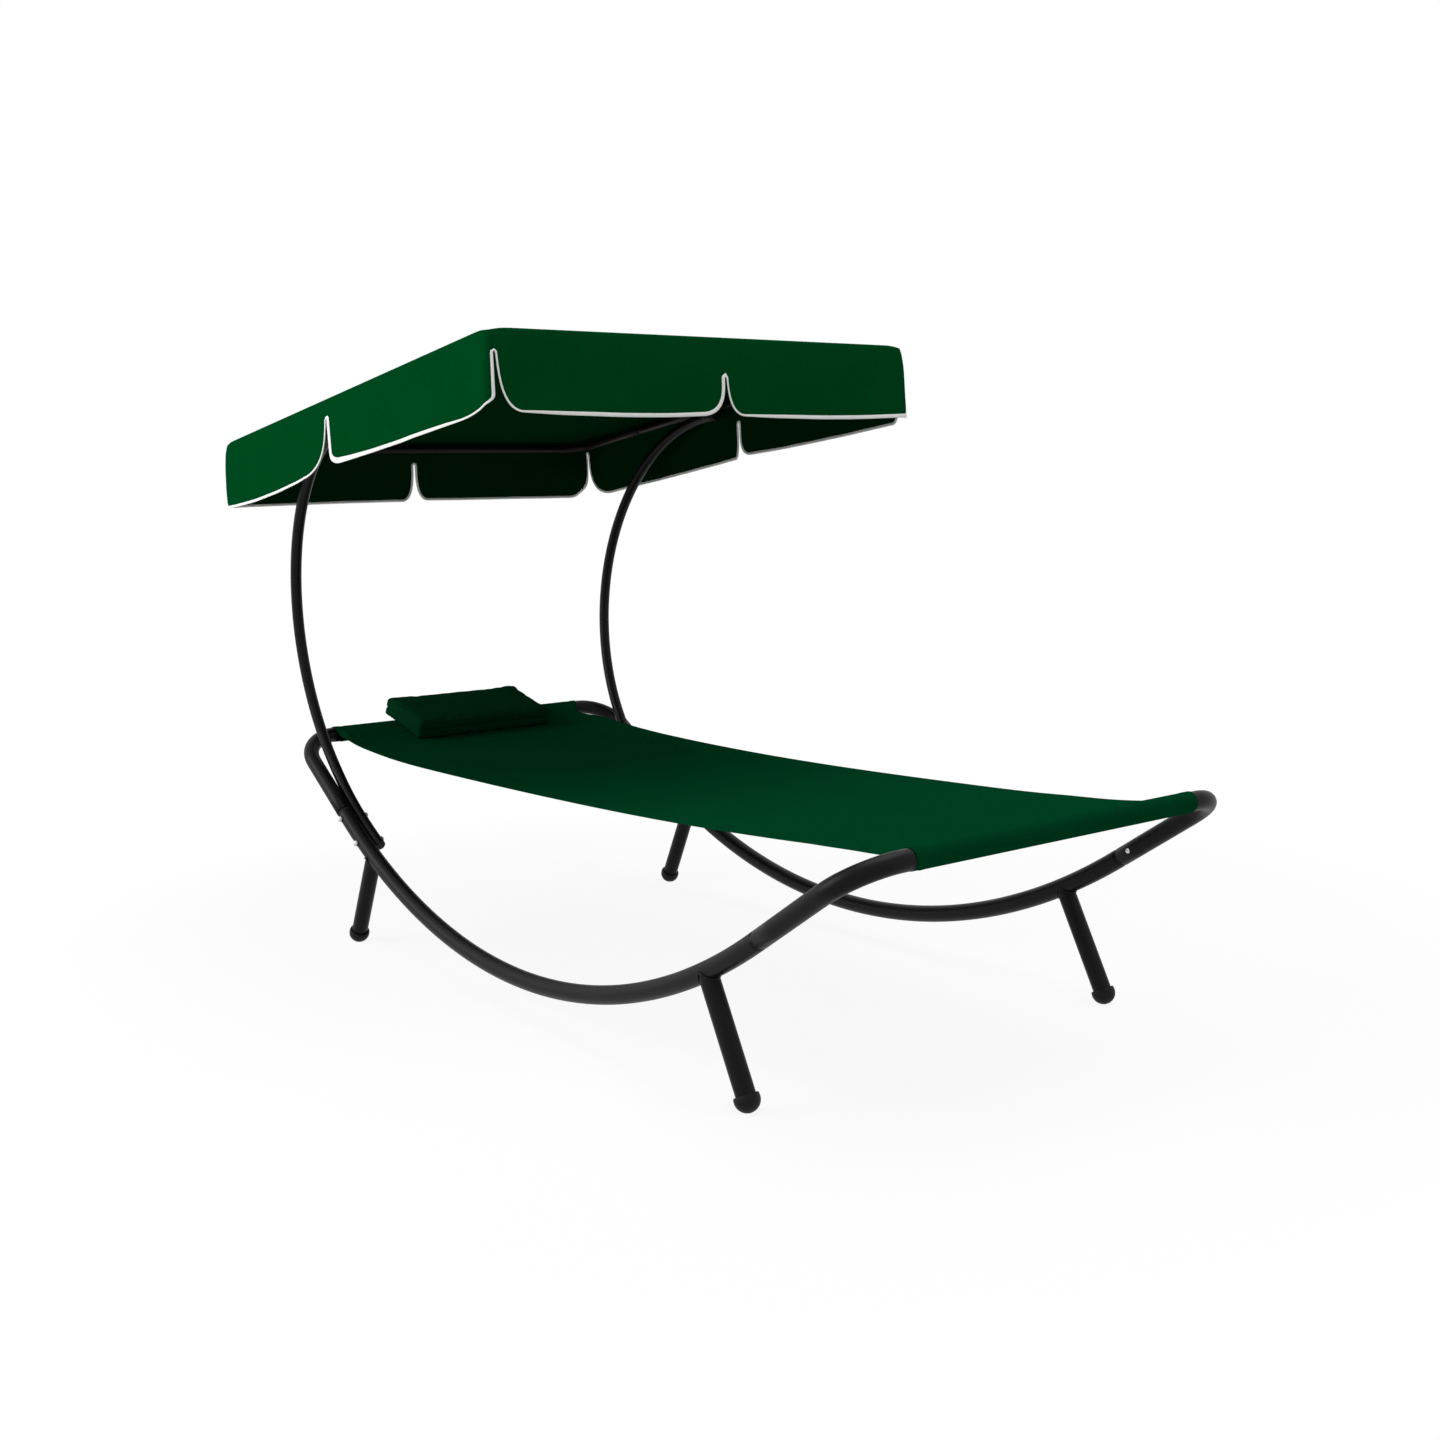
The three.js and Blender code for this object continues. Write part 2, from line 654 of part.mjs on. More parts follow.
// One side of the canopy frame, swaged at both ends.
function canopySideTube(side) {
  const spigot = { outer: frameSpigotRadius, bore: frameSpigotRadius - frameTubeWall };
  const full = { outer: frameTubeRadius, bore: frameBoreRadius };
  const straight = 2 * (frameJointPlace - seatGap - frameSwageTaper);
  const tip = -frameJointPlace - frameSpigotLength;
  const route = bendRoute({ x: tip, y: side.sign * frameHalfWidth, heading: 0, ...spigot }, [
    { run: frameSpigotLength + seatGap, ...spigot }, { run: frameSwageTaper, ...full },
    { run: straight, ...full },
    { run: frameSwageTaper, ...spigot }, { run: frameSpigotLength + seatGap, ...spigot },
  ]);
  const tube = sweptTube(route, canopyPlane(), { ...full, facets: frameFacets });
  return cut(tube, ...ends.map((end) => frameScrewDrill(side, end)));
}

function frameScrewPlace(side, end) {
  const x = end.sign * (frameJointPlace + frameScrewSetback);
  return new THREE.Vector3(x, side.sign * frameHalfWidth, frameRise - frameTubeRadius);
}

function frameScrewDrill(side, end) {
  const direction = new THREE.Vector3(0, 0, 1);
  return drill(frameScrewRadius + holeClearance, frameTubeRadius, frameScrewPlace(side, end), direction);
}

// The plate under the frame's side that the pole is bolted to, seated on the tube's curve.
function pivotBracket() {
  const shape = new THREE.Shape();
  shape.moveTo(bracketHalfWidth, frameRise);
  shape.lineTo(-bracketHalfWidth, frameRise);
  shape.absarc(0, 0, bracketEndRadius, Math.PI, 2 * Math.PI, false);
  const hole = new THREE.Path();
  hole.absarc(0, 0, boltHoleRadius, 0, 2 * Math.PI, true);
  shape.holes.push(hole);
  const depth = bracketThickness;
  const plate = new THREE.ExtrudeGeometry(shape, { depth, bevelEnabled: false, curveSegments: boreFacets });
  plate.rotateX(Math.PI / 2).translate(0, bracketOutside, 0);
  const start = { x: -2 * bracketHalfWidth, y: frameHalfWidth, heading: 0 };
  const along = bendRoute(start, [{ run: 4 * bracketHalfWidth }]);
  const saddle = { outer: frameTubeRadius + seatGap, facets: frameFacets };
  return cut(plate, sweptTube(along, canopyPlane(), saddle));
}

// A ring of the cover: a rectangle with round corners, at a height below the roof's top.
function coverRing(halfLength, halfWidth, radius, height) {
  const corners = [[1, 1, 0], [-1, 1, 1], [-1, -1, 2], [1, -1, 3]];
  return corners.flatMap(([x, y, quarter]) => Array.from({ length: cornerFacets + 1 }, (_, k) => {
    const angle = (Math.PI / 2) * (quarter + k / cornerFacets);
    return new THREE.Vector3(
      x * (halfLength - radius) + radius * Math.cos(angle),
      y * (halfWidth - radius) + radius * Math.sin(angle),
      height,
    );
  }));
}

// The rings of one skin of the cover from the hem up to the roof, set in from the outer face.
function coverSkin(inset) {
  const ring = (rim, height) => coverRing(
    roofHalfLength - inset - rim, roofHalfWidth - inset - rim,
    Math.max(coverCornerRadius - Math.max(inset, 0) - rim, seatGap), height - Math.max(inset, 0),
  );
  const round = shoulderRadius - Math.max(inset, 0);
  const half = round * (1 - Math.SQRT1_2);
  const hem = -(valanceDrop + valanceBow + cutOverrun);
  const crown = roofRingShares.map((share, i) => coverRing(
    share * roofHalfLength, share * roofHalfWidth, share * coverCornerRadius,
    -roofSag * roofSagShares[i] - Math.max(inset, 0),
  ));
  return [
    ring(-valanceLean, hem), ring(0, -round), ring(half, -half), ring(round, 0),
    ring(roofFlatBorder, 0), ...crown,
  ];
}

// The whole cover before its hem is cut: an outer and an inner skin joined at the bottom.
function coverShell(proud) {
  const outer = coverSkin(-proud);
  const inner = coverSkin(coverThickness + proud);
  const top = new THREE.Vector3(0, 0, -roofSag);
  const under = new THREE.Vector3(0, 0, -roofSag - coverThickness - proud);
  return stackedRings([...outer.reverse(), ...inner], top, under);
}

// One edge of a slit, from its top down to the hem: narrow at first, and flaring at its foot.
function slitEdge(slit, way, flare) {
  return slitDepthShares.map((depth, i) => new THREE.Vector2(
    slit.at + way * (slitHalfGap + flare * slitGapShares[i]),
    -slit.top - depth * (valanceDrop - slit.top),
  ));
}

// The hem of one wall, seen flat. A slit without a flare on its outer side is shared with the
// next wall, and a wall without such a slit has its cloth go on round the corner. Each panel's
// lower edge bows down slowly, in step with its length.
function hemLine(wall) {
  const end = wall.half + cutOverrun;
  const runs = wall.slits.map((slit) => [
    ...(slit.before ? slitEdge(slit, -1, slit.before).reverse() : [new THREE.Vector2(-end, -slit.top)]),
    new THREE.Vector2(slit.at, -slit.top),
    ...(slit.after ? slitEdge(slit, 1, slit.after) : [new THREE.Vector2(end, -slit.top)]),
  ]);
  if (wall.slits[0].before) runs.unshift([new THREE.Vector2(-end, -valanceDrop)]);
  if (wall.slits.at(-1).after) runs.push([new THREE.Vector2(end, -valanceDrop)]);
  return runs.flatMap((run, i) => {
    if (i + 1 === runs.length) return run;
    const [from, to] = [run.at(-1).x, runs[i + 1][0].x];
    const bows = Array.from({ length: bowSteps - 1 }, (_, k) => {
      const share = (k + 1) / bowSteps;
      const bow = valanceBow * ((to - from) / roofHalfLength) * 4 * share * (1 - share);
      return new THREE.Vector2(THREE.MathUtils.lerp(from, to, share), -valanceDrop - bow);
    });
    return [...run, ...bows];
  });
}

// A line moved into the cloth, which lies to its left, by a distance.
function movedIn(line, distance) {
  return line.map((point, i) => {
    const before = line[Math.max(i - 1, 0)];
    const after = line[Math.min(i + 1, line.length - 1)];
    const into = point.clone().sub(before).normalize().add(after.clone().sub(point).normalize());
    return new THREE.Vector2(-into.y, into.x).normalize().multiplyScalar(distance).add(point);
  });
}

// A tool that reaches through one wall of the cover, from a flat outline of length and height.
function wallTool(outline, wall) {
  const depth = wallReach + cutOverrun;
  const tool = new THREE.ExtrudeGeometry(new THREE.Shape(outline), { depth, bevelEnabled: false });
  const x = new THREE.Vector3(1, 0, 0);
  const y = new THREE.Vector3(0, 1, 0);
  const z = new THREE.Vector3(0, 0, 1);
  const offset = wall.sign > 0 ? wall.face - wallReach : -wall.face - cutOverrun;
  if (wall.long) {
    tool.applyMatrix4(new THREE.Matrix4().makeBasis(x, z, y));
    return welded(tool).translate(0, offset, 0);
  }
  tool.applyMatrix4(new THREE.Matrix4().makeBasis(y, z, x));
  return welded(tool).translate(offset, 0, 0);
}

// A slit at a corner, or one set back from it on a wall whose neighbours' cloth wraps round.
function slitNear(half, sign, back, flares) {
  return { at: sign * (half - back), ...cornerSlit, ...flares };
}

function slitBetween(slit) {
  return { ...slit, at: slit.shift };
}

const coverWalls = [
  { long: true, sign: 1, face: roofHalfWidth, half: roofHalfLength, slits: [
    slitNear(roofHalfLength, -1, slitWrap, leftHeadSlit), slitBetween(leftSlit),
    slitNear(roofHalfLength, 1, slitWrap, leftFootSlit),
  ] },
  { long: true, sign: -1, face: roofHalfWidth, half: roofHalfLength, slits: [
    slitNear(roofHalfLength, -1, cornerSlitInset, rightHeadSlit), slitBetween(rightSlit),
    slitNear(roofHalfLength, 1, cornerSlitInset, rightFootSlit),
  ] },
  { long: false, sign: 1, face: roofHalfLength, half: roofHalfWidth, slits: [
    slitNear(roofHalfWidth, -1, cornerSlitInset, footSideSlit), slitBetween(footSlit),
  ] },
  { long: false, sign: -1, face: roofHalfLength, half: roofHalfWidth, slits: [
    slitNear(roofHalfWidth, -1, cornerSlitInset, headSideSlit), slitBetween(headSlit),
  ] },
];

// Lets the cover hang straight down from a roof that is tilted: points below the roof move
// back along it, because the cover is drawn in the roof's own plane.
function hung(geometry) {
  return reshaped(geometry, (p) => {
    p.x += p.z * Math.sin(roofTilt);
    p.z = roofRise + p.z * Math.cos(roofTilt);
  });
}

// The cloth cover: everything below the piping's inner edge is cut away.
function canopyCover() {
  const tools = coverWalls.map((wall) => {
    const hem = movedIn(hemLine(wall), pipingWidth + seatGap);
    const floor = -(valanceDrop + valanceBow + 2 * cutOverrun);
    const corners = [new THREE.Vector2(hem.at(-1).x, floor), new THREE.Vector2(hem[0].x, floor)];
    return wallTool([...hem, ...corners], wall);
  });
  return hung(cut(coverShell(0), ...tools));
}

// The piping: one band round the whole hem, in and out of all slits, a little proud of the cloth.
function canopyPiping() {
  const bands = coverWalls.map((wall) => {
    const hem = hemLine(wall);
    return wallTool([...hem, ...movedIn(hem, pipingWidth).reverse()], wall);
  });
  return hung(common(coverShell(pipingProud), joined(...bands)));
}

// A place on the sling's middle line, at a share of the way from the head rail to the foot rail.
function slingPlace(share) {
  const [sag] = slingProfile.evaluate(share);
  const x = THREE.MathUtils.lerp(-railPlace.x, railPlace.x, share);
  return new THREE.Vector2(x, railPlace.z - slingSag * sag);
}

// A place on the sling's middle line, at a level distance from the rail of one end.
function slingPlaceFrom(end, distance) {
  const share = distance / (2 * railPlace.x);
  return slingPlace(end.sign < 0 ? share : 1 - share);
}

// The outline of one sleeve, round the rail from one side of its seam to the other.
function sleeveOutline(end, radius, seam) {
  const centre = new THREE.Vector2(end.sign * railPlace.x, railPlace.z);
  const toSeam = seam.clone().sub(centre);
  const open = Math.acos(radius / toSeam.length());
  return Array.from({ length: sleeveArcSteps + 1 }, (_, i) => {
    const angle = toSeam.angle() + THREE.MathUtils.lerp(open, 2 * Math.PI - open, i / sleeveArcSteps);
    return centre.clone().add(new THREE.Vector2(Math.cos(angle), Math.sin(angle)).multiplyScalar(radius));
  });
}

function slingHalfWidth(x) {
  const share = THREE.MathUtils.clamp((x / railPlace.x + 1) / 2, 0, 1);
  const even = THREE.MathUtils.lerp(slingHeadHalfWidth, slingFootHalfWidth, share);
  return even - slingPinch * 4 * share * (1 - share);
}

// The sling: a sheet with a sewn sleeve round each rail, its long edges pulled in.
function bedSling() {
  const inset = sleeveSeamRun / (2 * railPlace.x);
  const sheet = Array.from({ length: slingSteps + 1 }, (_, i) => (
    slingPlace(THREE.MathUtils.lerp(inset, 1 - inset, i / slingSteps))
  ));
  const half = new THREE.Vector2(0, slingThickness / 2);
  const under = sheet.map((p) => p.clone().sub(half));
  const over = sheet.map((p) => p.clone().add(half)).reverse();
  const [headSleeve, footSleeve] = ends.map((end) => (
    sleeveOutline(end, sleeveRadius, slingPlaceFrom(end, sleeveSeamRun))
  ));
  const shape = new THREE.Shape([...headSleeve, ...under, ...footSleeve, ...over]);
  for (const end of ends) {
    const apex = slingPlaceFrom(end, sleeveSeamRun - sleeveSeamLap);
    shape.holes.push(new THREE.Path([...sleeveOutline(end, sleeveBore, apex), apex]));
  }
  const flat = new THREE.ExtrudeGeometry(shape, { depth: 1, bevelEnabled: false }).rotateX(Math.PI / 2);
  return reshaped(welded(flat), (p) => { p.y = (2 * p.y + 1) * slingHalfWidth(p.x); });
}

// A ring of the pillow: a soft rectangle whose sides draw in between its corners.
function pillowRing(inset, height) {
  const [a, b] = [pillowLength / 2 - inset, pillowWidth / 2 - inset];
  return Array.from({ length: pillowFacets }, (_, k) => {
    const angle = (2 * Math.PI * k) / pillowFacets;
    const soft = (value) => Math.sign(value) * Math.abs(value) ** pillowPowerShare;
    const [u, v] = [soft(Math.cos(angle)), soft(Math.sin(angle))];
    return new THREE.Vector3(u * (a - pillowPull * (1 - v * v)), v * (b - pillowPull * (1 - u * u)), height);
  });
}

// The pillow: flat below, two soft bulges with a seam crease between them, and a crown on top.
function headPillow() {
  const rings = [
    pillowRing(pillowCornerInset, 0),
    pillowRing(pillowCornerInset / 4, pillowHeight / 8),
    pillowRing(0, pillowHeight / 3),
    pillowRing(pillowCrease, pillowHeight / 2),
    pillowRing(0, (2 * pillowHeight) / 3),
    pillowRing(pillowCornerInset / 4, (7 * pillowHeight) / 8),
    pillowRing(pillowCornerInset, pillowHeight),
    pillowRing(3 * pillowCornerInset, pillowHeight + pillowCrown * 0.6),
    pillowRing(5 * pillowCornerInset, pillowHeight + pillowCrown * 0.9),
  ];
  const bottom = new THREE.Vector3(0, 0, 0);
  const top = new THREE.Vector3(0, 0, pillowHeight + pillowCrown);
  return stackedRings(rings, bottom, top);
}

// Where the pillow lies: its flat bottom touches the head sleeve and the sling in front of it.
function placePillow(group) {
  const front = slingPlaceFrom(ends[0], pillowReach);
  front.y += slingThickness / 2 + seatGap;
  const toRail = new THREE.Vector2(-railPlace.x, railPlace.z).sub(front);
  group.position.set(front.x, 0, front.y);
  group.rotation.y = Math.PI - toRail.angle() + Math.asin((sleeveRadius + seatGap) / toRail.length());
  return pillowCornerInset - pillowLength / 2;
}

function addBedFrame(bed) {
  const side = sideTube();
  const leg = legTube();
  const cap = footCap();
  const screwHead = [railScrewHeadRadius, railScrewHeadRise];
  const screw = domeBolt(railScrewRadius, railScrewLength, ...screwHead, screwFacets);
  for (const end of ends) addPiece(bed, `${end.word}_rail_tube`, railTube(end), paint);
  for (const which of sides) {
    addPiece(bed, `side_tube_${which.word}`, forSide(side, which), paint);
    for (const end of ends) {
      addPiece(bed, `leg_${end.word}_${which.word}`, forEnd(forSide(leg, which), end), paint);
      addPiece(bed, `foot_cap_${end.word}_${which.word}`, forEnd(forSide(cap, which), end), plastic);
      const { place, direction } = railScrewSpot(end);
      const across = new THREE.Vector3(1, which.sign, 1);
      const mesh = addPiece(bed, `rail_screw_${end.word}_${which.word}`, screw, zinc);
      seat(mesh, place.addScaledVector(direction, seatGap).multiply(across), direction.multiply(across));
    }
  }
}

function addPoles(bed) {
  const pole = poleTube();
  const stations = poleRoute();
  const plugs = { foot: polePlug(stations[0], -1), top: polePlug(stations.at(-1), 1) };
  const nut = capNut();
  const headSeat = poleClampSpread - poleRadius - seatGap;
  const nutSeat = bedHalfWidth + bedTubeRadius + seatGap;
  const length = nutSeat - headSeat + nutHexHeight;
  const bolt = domeBolt(boltRadius, length, boltHeadRadius, boltHeadRise, boltFacets);
  for (const which of sides) {
    addPiece(bed, `canopy_pole_${which.word}`, forSide(pole, which), paint);
    for (const [word, plug] of Object.entries(plugs)) {
      addPiece(bed, `pole_${word}_plug_${which.word}`, forSide(plug, which), plastic);
    }
    for (const [word, run] of Object.entries(poleBoltRuns)) {
      const { x, z } = poleBoltPlace(run);
      const boltMesh = addPiece(bed, `pole_bolt_${word}_${which.word}`, bolt, zinc);
      seat(boltMesh, { x, y: which.sign * headSeat, z }, inwards(which));
      const nutMesh = addPiece(bed, `pole_nut_${word}_${which.word}`, nut, zinc);
      seat(nutMesh, { x, y: which.sign * nutSeat, z }, outwards(which));
    }
  }
}

function addPivots(canopy) {
  const bracket = pivotBracket();
  const ring = washer();
  const nut = capNut();
  const headSeat = bracketOutside + seatGap;
  const nutSeat = poleTopSpread - poleRadius - seatGap;
  const length = headSeat - nutSeat + nutHexHeight;
  const bolt = domeBolt(boltRadius, length, boltHeadRadius, boltHeadRise, boltFacets);
  for (const which of sides) {
    const at = (y) => ({ x: 0, y: which.sign * y, z: 0 });
    addPiece(canopy, `canopy_bracket_${which.word}`, forSide(bracket, which), paint);
    const ringMesh = addPiece(canopy, `canopy_pivot_washer_${which.word}`, ring, plastic);
    seat(ringMesh, at(washerSeat + washerThickness / 2), outwards(which));
    seat(addPiece(canopy, `canopy_pivot_bolt_${which.word}`, bolt, zinc), at(headSeat), outwards(which));
    seat(addPiece(canopy, `canopy_pivot_nut_${which.word}`, nut, zinc), at(nutSeat), inwards(which));
  }
}

function addCanopyFrame(canopy) {
  const down = new THREE.Vector3(0, 0, -1);
  const screwHead = [frameScrewHeadRadius, frameScrewHeadRise];
  const screw = domeBolt(frameScrewRadius, frameScrewLength, ...screwHead, screwFacets);
  for (const end of ends) addPiece(canopy, `canopy_tube_${end.word}`, canopyEndTube(end), paint);
  for (const which of sides) {
    addPiece(canopy, `canopy_tube_${which.word}`, canopySideTube(which), paint);
    for (const end of ends) {
      const mesh = addPiece(canopy, `canopy_screw_${end.word}_${which.word}`, screw, zinc);
      seat(mesh, frameScrewPlace(which, end).addScaledVector(down, seatGap), down);
    }
  }
}

const lounger = new THREE.Group();
const bed = new THREE.Group();
const canopy = new THREE.Group();
const pillow = new THREE.Group();
lounger.add(bed, canopy, pillow);

addBedFrame(bed);
addPoles(bed);
addPiece(bed, 'bed_sling', bedSling(), slingCloth);

canopy.position.set(pivot.x, 0, pivot.z);
canopy.rotation.y = -roofTilt;
addCanopyFrame(canopy);
addPivots(canopy);
addPiece(canopy, 'canopy_cover', canopyCover(), roofCloth);
addPiece(canopy, 'canopy_piping', canopyPiping(), binding);

addPiece(pillow, 'head_pillow', headPillow(), pillowCloth).position.x = placePillow(pillow);

// The origin is on the ground under the middle of the whole object.
const box = new THREE.Box3().setFromObject(lounger, true);
lounger.position.x = -(box.min.x + box.max.x) / 2;

export default lounger;
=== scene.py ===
"""A sun lounger with a tilting canopy: bowed steel frame, hung sling, loose pillow.

Every surface is a grid of points worked out from the sizes below, in metres, in the row frame:
+X from the head end to the foot end, +Y to the left of someone who lies on it, +Z up.
"""

import math
from collections import namedtuple
from types import SimpleNamespace

import bmesh
import bpy
import numpy as np
from bpy.props import FloatProperty, FloatVectorProperty, IntProperty, PointerProperty
from mathutils import Matrix, Vector


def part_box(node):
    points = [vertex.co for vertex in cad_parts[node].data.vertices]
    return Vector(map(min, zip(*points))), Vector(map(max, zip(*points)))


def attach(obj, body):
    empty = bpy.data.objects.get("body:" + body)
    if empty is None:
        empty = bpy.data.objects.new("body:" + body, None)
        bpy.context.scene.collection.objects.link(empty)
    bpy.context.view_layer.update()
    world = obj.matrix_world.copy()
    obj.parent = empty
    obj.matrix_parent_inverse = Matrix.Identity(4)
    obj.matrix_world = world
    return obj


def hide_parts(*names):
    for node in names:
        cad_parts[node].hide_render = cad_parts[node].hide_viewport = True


bl_info = {
    "name": "Canopy Lounger",
    "version": (1, 0, 0),
    "blender": (4, 5, 0),
    "location": "View3D > Sidebar > Lounger",
    "description": "Builds a sun lounger with a tilting canopy around its packed frame",
    "category": "Object",
}

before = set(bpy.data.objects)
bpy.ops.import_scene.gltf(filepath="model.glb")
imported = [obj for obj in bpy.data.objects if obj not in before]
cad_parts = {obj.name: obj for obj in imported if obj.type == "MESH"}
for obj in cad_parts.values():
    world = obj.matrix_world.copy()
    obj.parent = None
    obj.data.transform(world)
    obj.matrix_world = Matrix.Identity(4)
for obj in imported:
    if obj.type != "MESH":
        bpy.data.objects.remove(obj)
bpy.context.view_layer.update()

SIDES = (("left", 1), ("right", -1))
ENDS = (("head", -1), ("foot", 1))
X_AXIS = np.array([1.0, 0.0, 0.0])
Y_AXIS = np.array([0.0, 1.0, 0.0])
Z_AXIS = np.array([0.0, 0.0, 1.0])

# Whether a grid's last row meets its first, and its last column its first: a ring that is closed
# along its length too, and one that is closed round only.
CLOSED_RING = (True, True)
OPEN_RING = (False, True)

PAINT = "Powder-coated steel, black"
PLASTIC = "Moulded polyethylene, black"

# A small screw's shank radius, shank length, head radius and head height.
RAIL_SCREW = (0.0024, 0.009, 0.0046, 0.0026)
FRAME_SCREW = (0.0019, 0.006, 0.0036, 0.002)


def linear(code):
    """The linear colour of an sRGB hex code."""
    parts = [int(code[i : i + 2], 16) / 255 for i in (1, 3, 5)]
    return tuple(c / 12.92 if c <= 0.04045 else ((c + 0.055) / 1.055) ** 2.4 for c in parts)


def length(name, default, description):
    """A property that holds a length in metres."""
    return FloatProperty(
        name=name, default=default, description=description, min=0.0, precision=4, unit="LENGTH"
    )


def colour(name, code, description):
    """A property that holds a colour, from its sRGB hex code."""
    return FloatVectorProperty(
        name=name, default=linear(code), description=description, min=0.0, max=1.0, subtype="COLOR"
    )


def angle(name, degrees, description):
    """A property that holds an angle."""
    return FloatProperty(
        name=name, default=math.radians(degrees), description=description, unit="ROTATION"
    )


class BedSizes(bpy.types.PropertyGroup):
    """Sizes of the bed frame and its legs"""

    tube_radius: length("Tube radius", 0.0175, "Outer radius of the bed frame's tubes")
    tube_wall: length("Tube wall", 0.0015, "Wall of the bed frame's tubes")
    half_width: length("Half width", 0.436, "From the middle to the side tubes' centre lines")
    arc_radius: length("Side arc radius", 1.381, "Radius of the side tubes' long arcs")
    arc_half_span: length("Side arc half span", 0.746, "Half the level span of a side arc")
    arc_lowest: length("Side arc height", 0.068, "Height of a side arc's centre line at its middle")
    end_run: length("End run", 0.286, "Straight run from a side arc to the rail's centre line")
    corner_radius: length("Corner radius", 0.090, "Radius of the bends between legs and rail")
    joint_run: length("Joint run", 0.014, "From a side arc's end to the mouth of the U tube")
    spigot: length("Spigot", 0.060, "Length of side tube that goes into a U tube")
    swage: length("Swage", 0.009, "Length over which a side tube narrows to its spigot")
    gap: length("Fit gap", 0.0003, "Clearance between pieces that fit together")
    leg_top: length("Leg top", 0.616, "Level distance of a leg's top from the middle")
    leg_foot: length("Leg foot", 0.714, "Level distance of a leg's foot from the middle")
    ball_radius: length("Foot radius", 0.0225, "Radius of a leg's ball-shaped cap")
    ball_flat: length("Foot flat", 0.0012, "Depth of the worn flat under a cap")
    ball_rim: length("Foot rim", 0.007, "Height of a cap's rim above the middle of its ball")
    weld: length("Weld bead", 0.0024, "Radius of the weld bead round a leg's top")


class PoleSizes(bpy.types.PropertyGroup):
    """Sizes of the canopy poles and their bolts"""

    radius: length("Pole radius", 0.0125, "Outer radius of the poles")
    wall: length("Pole wall", 0.0012, "Wall of the poles")
    arc_radius: length("Pole arc radius", 0.485, "Radius of the poles' large bend")
    top_overhang: length("Top overhang", 0.020, "Pole beyond the canopy's pivot")
    foot_run: length("Clamped run", 0.126, "From the U tube's mouth to a pole's lower end")
    lean_blend: length("Lean blend", 0.120, "Height over which a pole takes up its lean")
    bolt_upper: length("Upper bolt", 0.022, "From the U tube's mouth to the upper bolt")
    bolt_lower: length("Lower bolt", 0.110, "From the U tube's mouth to the lower bolt")
    bolt_radius: length("Bolt radius", 0.004, "Radius of the bolts' shanks")
    head_radius: length("Bolt head radius", 0.0075, "Radius of the domed bolt heads")
    head_rise: length("Bolt head rise", 0.0045, "Height of the domed bolt heads")
    nut_corner: length("Nut corner radius", 0.007, "Radius over the corners of a cap nut")
    nut_hex: length("Nut hexagon", 0.0045, "Height of a cap nut's hexagon")
    nut_dome: length("Nut dome", 0.0035, "Height of a cap nut's dome")
    pivot_heading: angle("Pivot place", 4.8, "Slope of a pole's centre line at the pivot")


class CanopySizes(bpy.types.PropertyGroup):
    """Sizes of the canopy's frame and cloth"""

    half_length: length("Half length", 0.642, "Half the roof's length along its slope")
    half_width: length("Half width", 0.495, "Half the roof's width")
    tilt: angle("Tilt", 6.9, "Slope of the roof down to the head end")
    rise: length("Rise", 0.034, "Roof above the pivot")
    slack: length("Slack", 0.012, "How far the cloth hangs clear of the frame at each side")
    loft: length("Loft", 0.005, "How far the cloth stands up from the frame")
    tube_radius: length("Tube radius", 0.0095, "Outer radius of the canopy frame's tubes")
    tube_wall: length("Tube wall", 0.0012, "Wall of the canopy frame's tubes")
    tube_corner: length("Tube corner", 0.060, "Radius of the canopy frame's corner bends")
    tube_leg: length("Tube leg", 0.300, "Length of a frame end from its joint to its rail")
    tube_inset: length("Tube inset", 0.0126, "From the cloth's outer face to a tube's centre")
    corner_radius: length("Cloth corner", 0.010, "Radius of the cloth's upright corners")
    shoulder: length("Shoulder", 0.007, "Radius of the cloth along the roof's edge")
    sag: length("Sag", 0.012, "How far the middle of the roof hangs down")
    drop: length("Drop", 0.151, "Length of the valance")
    lean: length("Lean", 0.007, "How far the valance's foot stands out from the roof's edge")
    slit_gap: length("Slit gap", 0.0020, "Half the opening at the top of a slit")
    cloth: length("Cloth thickness", 0.0010, "Thickness of the canopy cloth")
    binding: length("Binding width", 0.0080, "Width of the white binding tape")
    binding_thick: length("Binding thickness", 0.0030, "Thickness of the folded binding tape")
    ripple: length("Ripple", 0.0028, "How far the hanging cloth waves in and out")
    tuck: length("Tuck", 0.0045, "How far the roof's sewn corners are drawn in and down")


class SlingSizes(bpy.types.PropertyGroup):
    """Sizes of the sling"""

    head_half: length("Head half width", 0.346, "Half the width of the head end's sleeve")
    head_shift: length("Head shift", 0.005, "How far the head end sits to the right")
    foot_half: length("Foot half width", 0.332, "Half the width of the foot end's sleeve")
    pinch: length("Pinch", 0.020, "How far each long edge is drawn in at the most")
    corner_pinch: length("Corner pinch", 0.016, "How far the edges draw in beside the head seam")
    sag: length("Sag", 0.041, "How far the sling hangs below the rails")
    seam: length("Seam", 0.062, "Level distance of a sleeve's seam from its rail")
    cloth: length("Cloth thickness", 0.0008, "Thickness of the sling's cloth")
    hem: length("Hem", 0.018, "Width of the turned hems along the long edges")


class PillowSizes(bpy.types.PropertyGroup):
    """Sizes of the head pillow"""

    length: length("Length", 0.190, "Length of the pillow along the bed")
    width: length("Width", 0.372, "Width of the pillow across the bed")
    height: length("Height", 0.041, "Height of the pillow at its edge")
    crown: length("Crown", 0.003, "How much thicker it is in the middle")
    pull: length("Pull", 0.004, "How far the sides draw in between the corners")
    edge: length("Edge", 0.003, "Radius of its edges")
    seam: length("Seam", 0.0028, "Depth of the seam halfway up its sides")
    offset: length("Offset", 0.010, "How far it lies to the right of the middle")
    reach: length("Reach", 0.131, "Level distance of its lower front edge from the head rail")
    swell: length("Swell", 0.004, "The most that the filling may push the cover out")


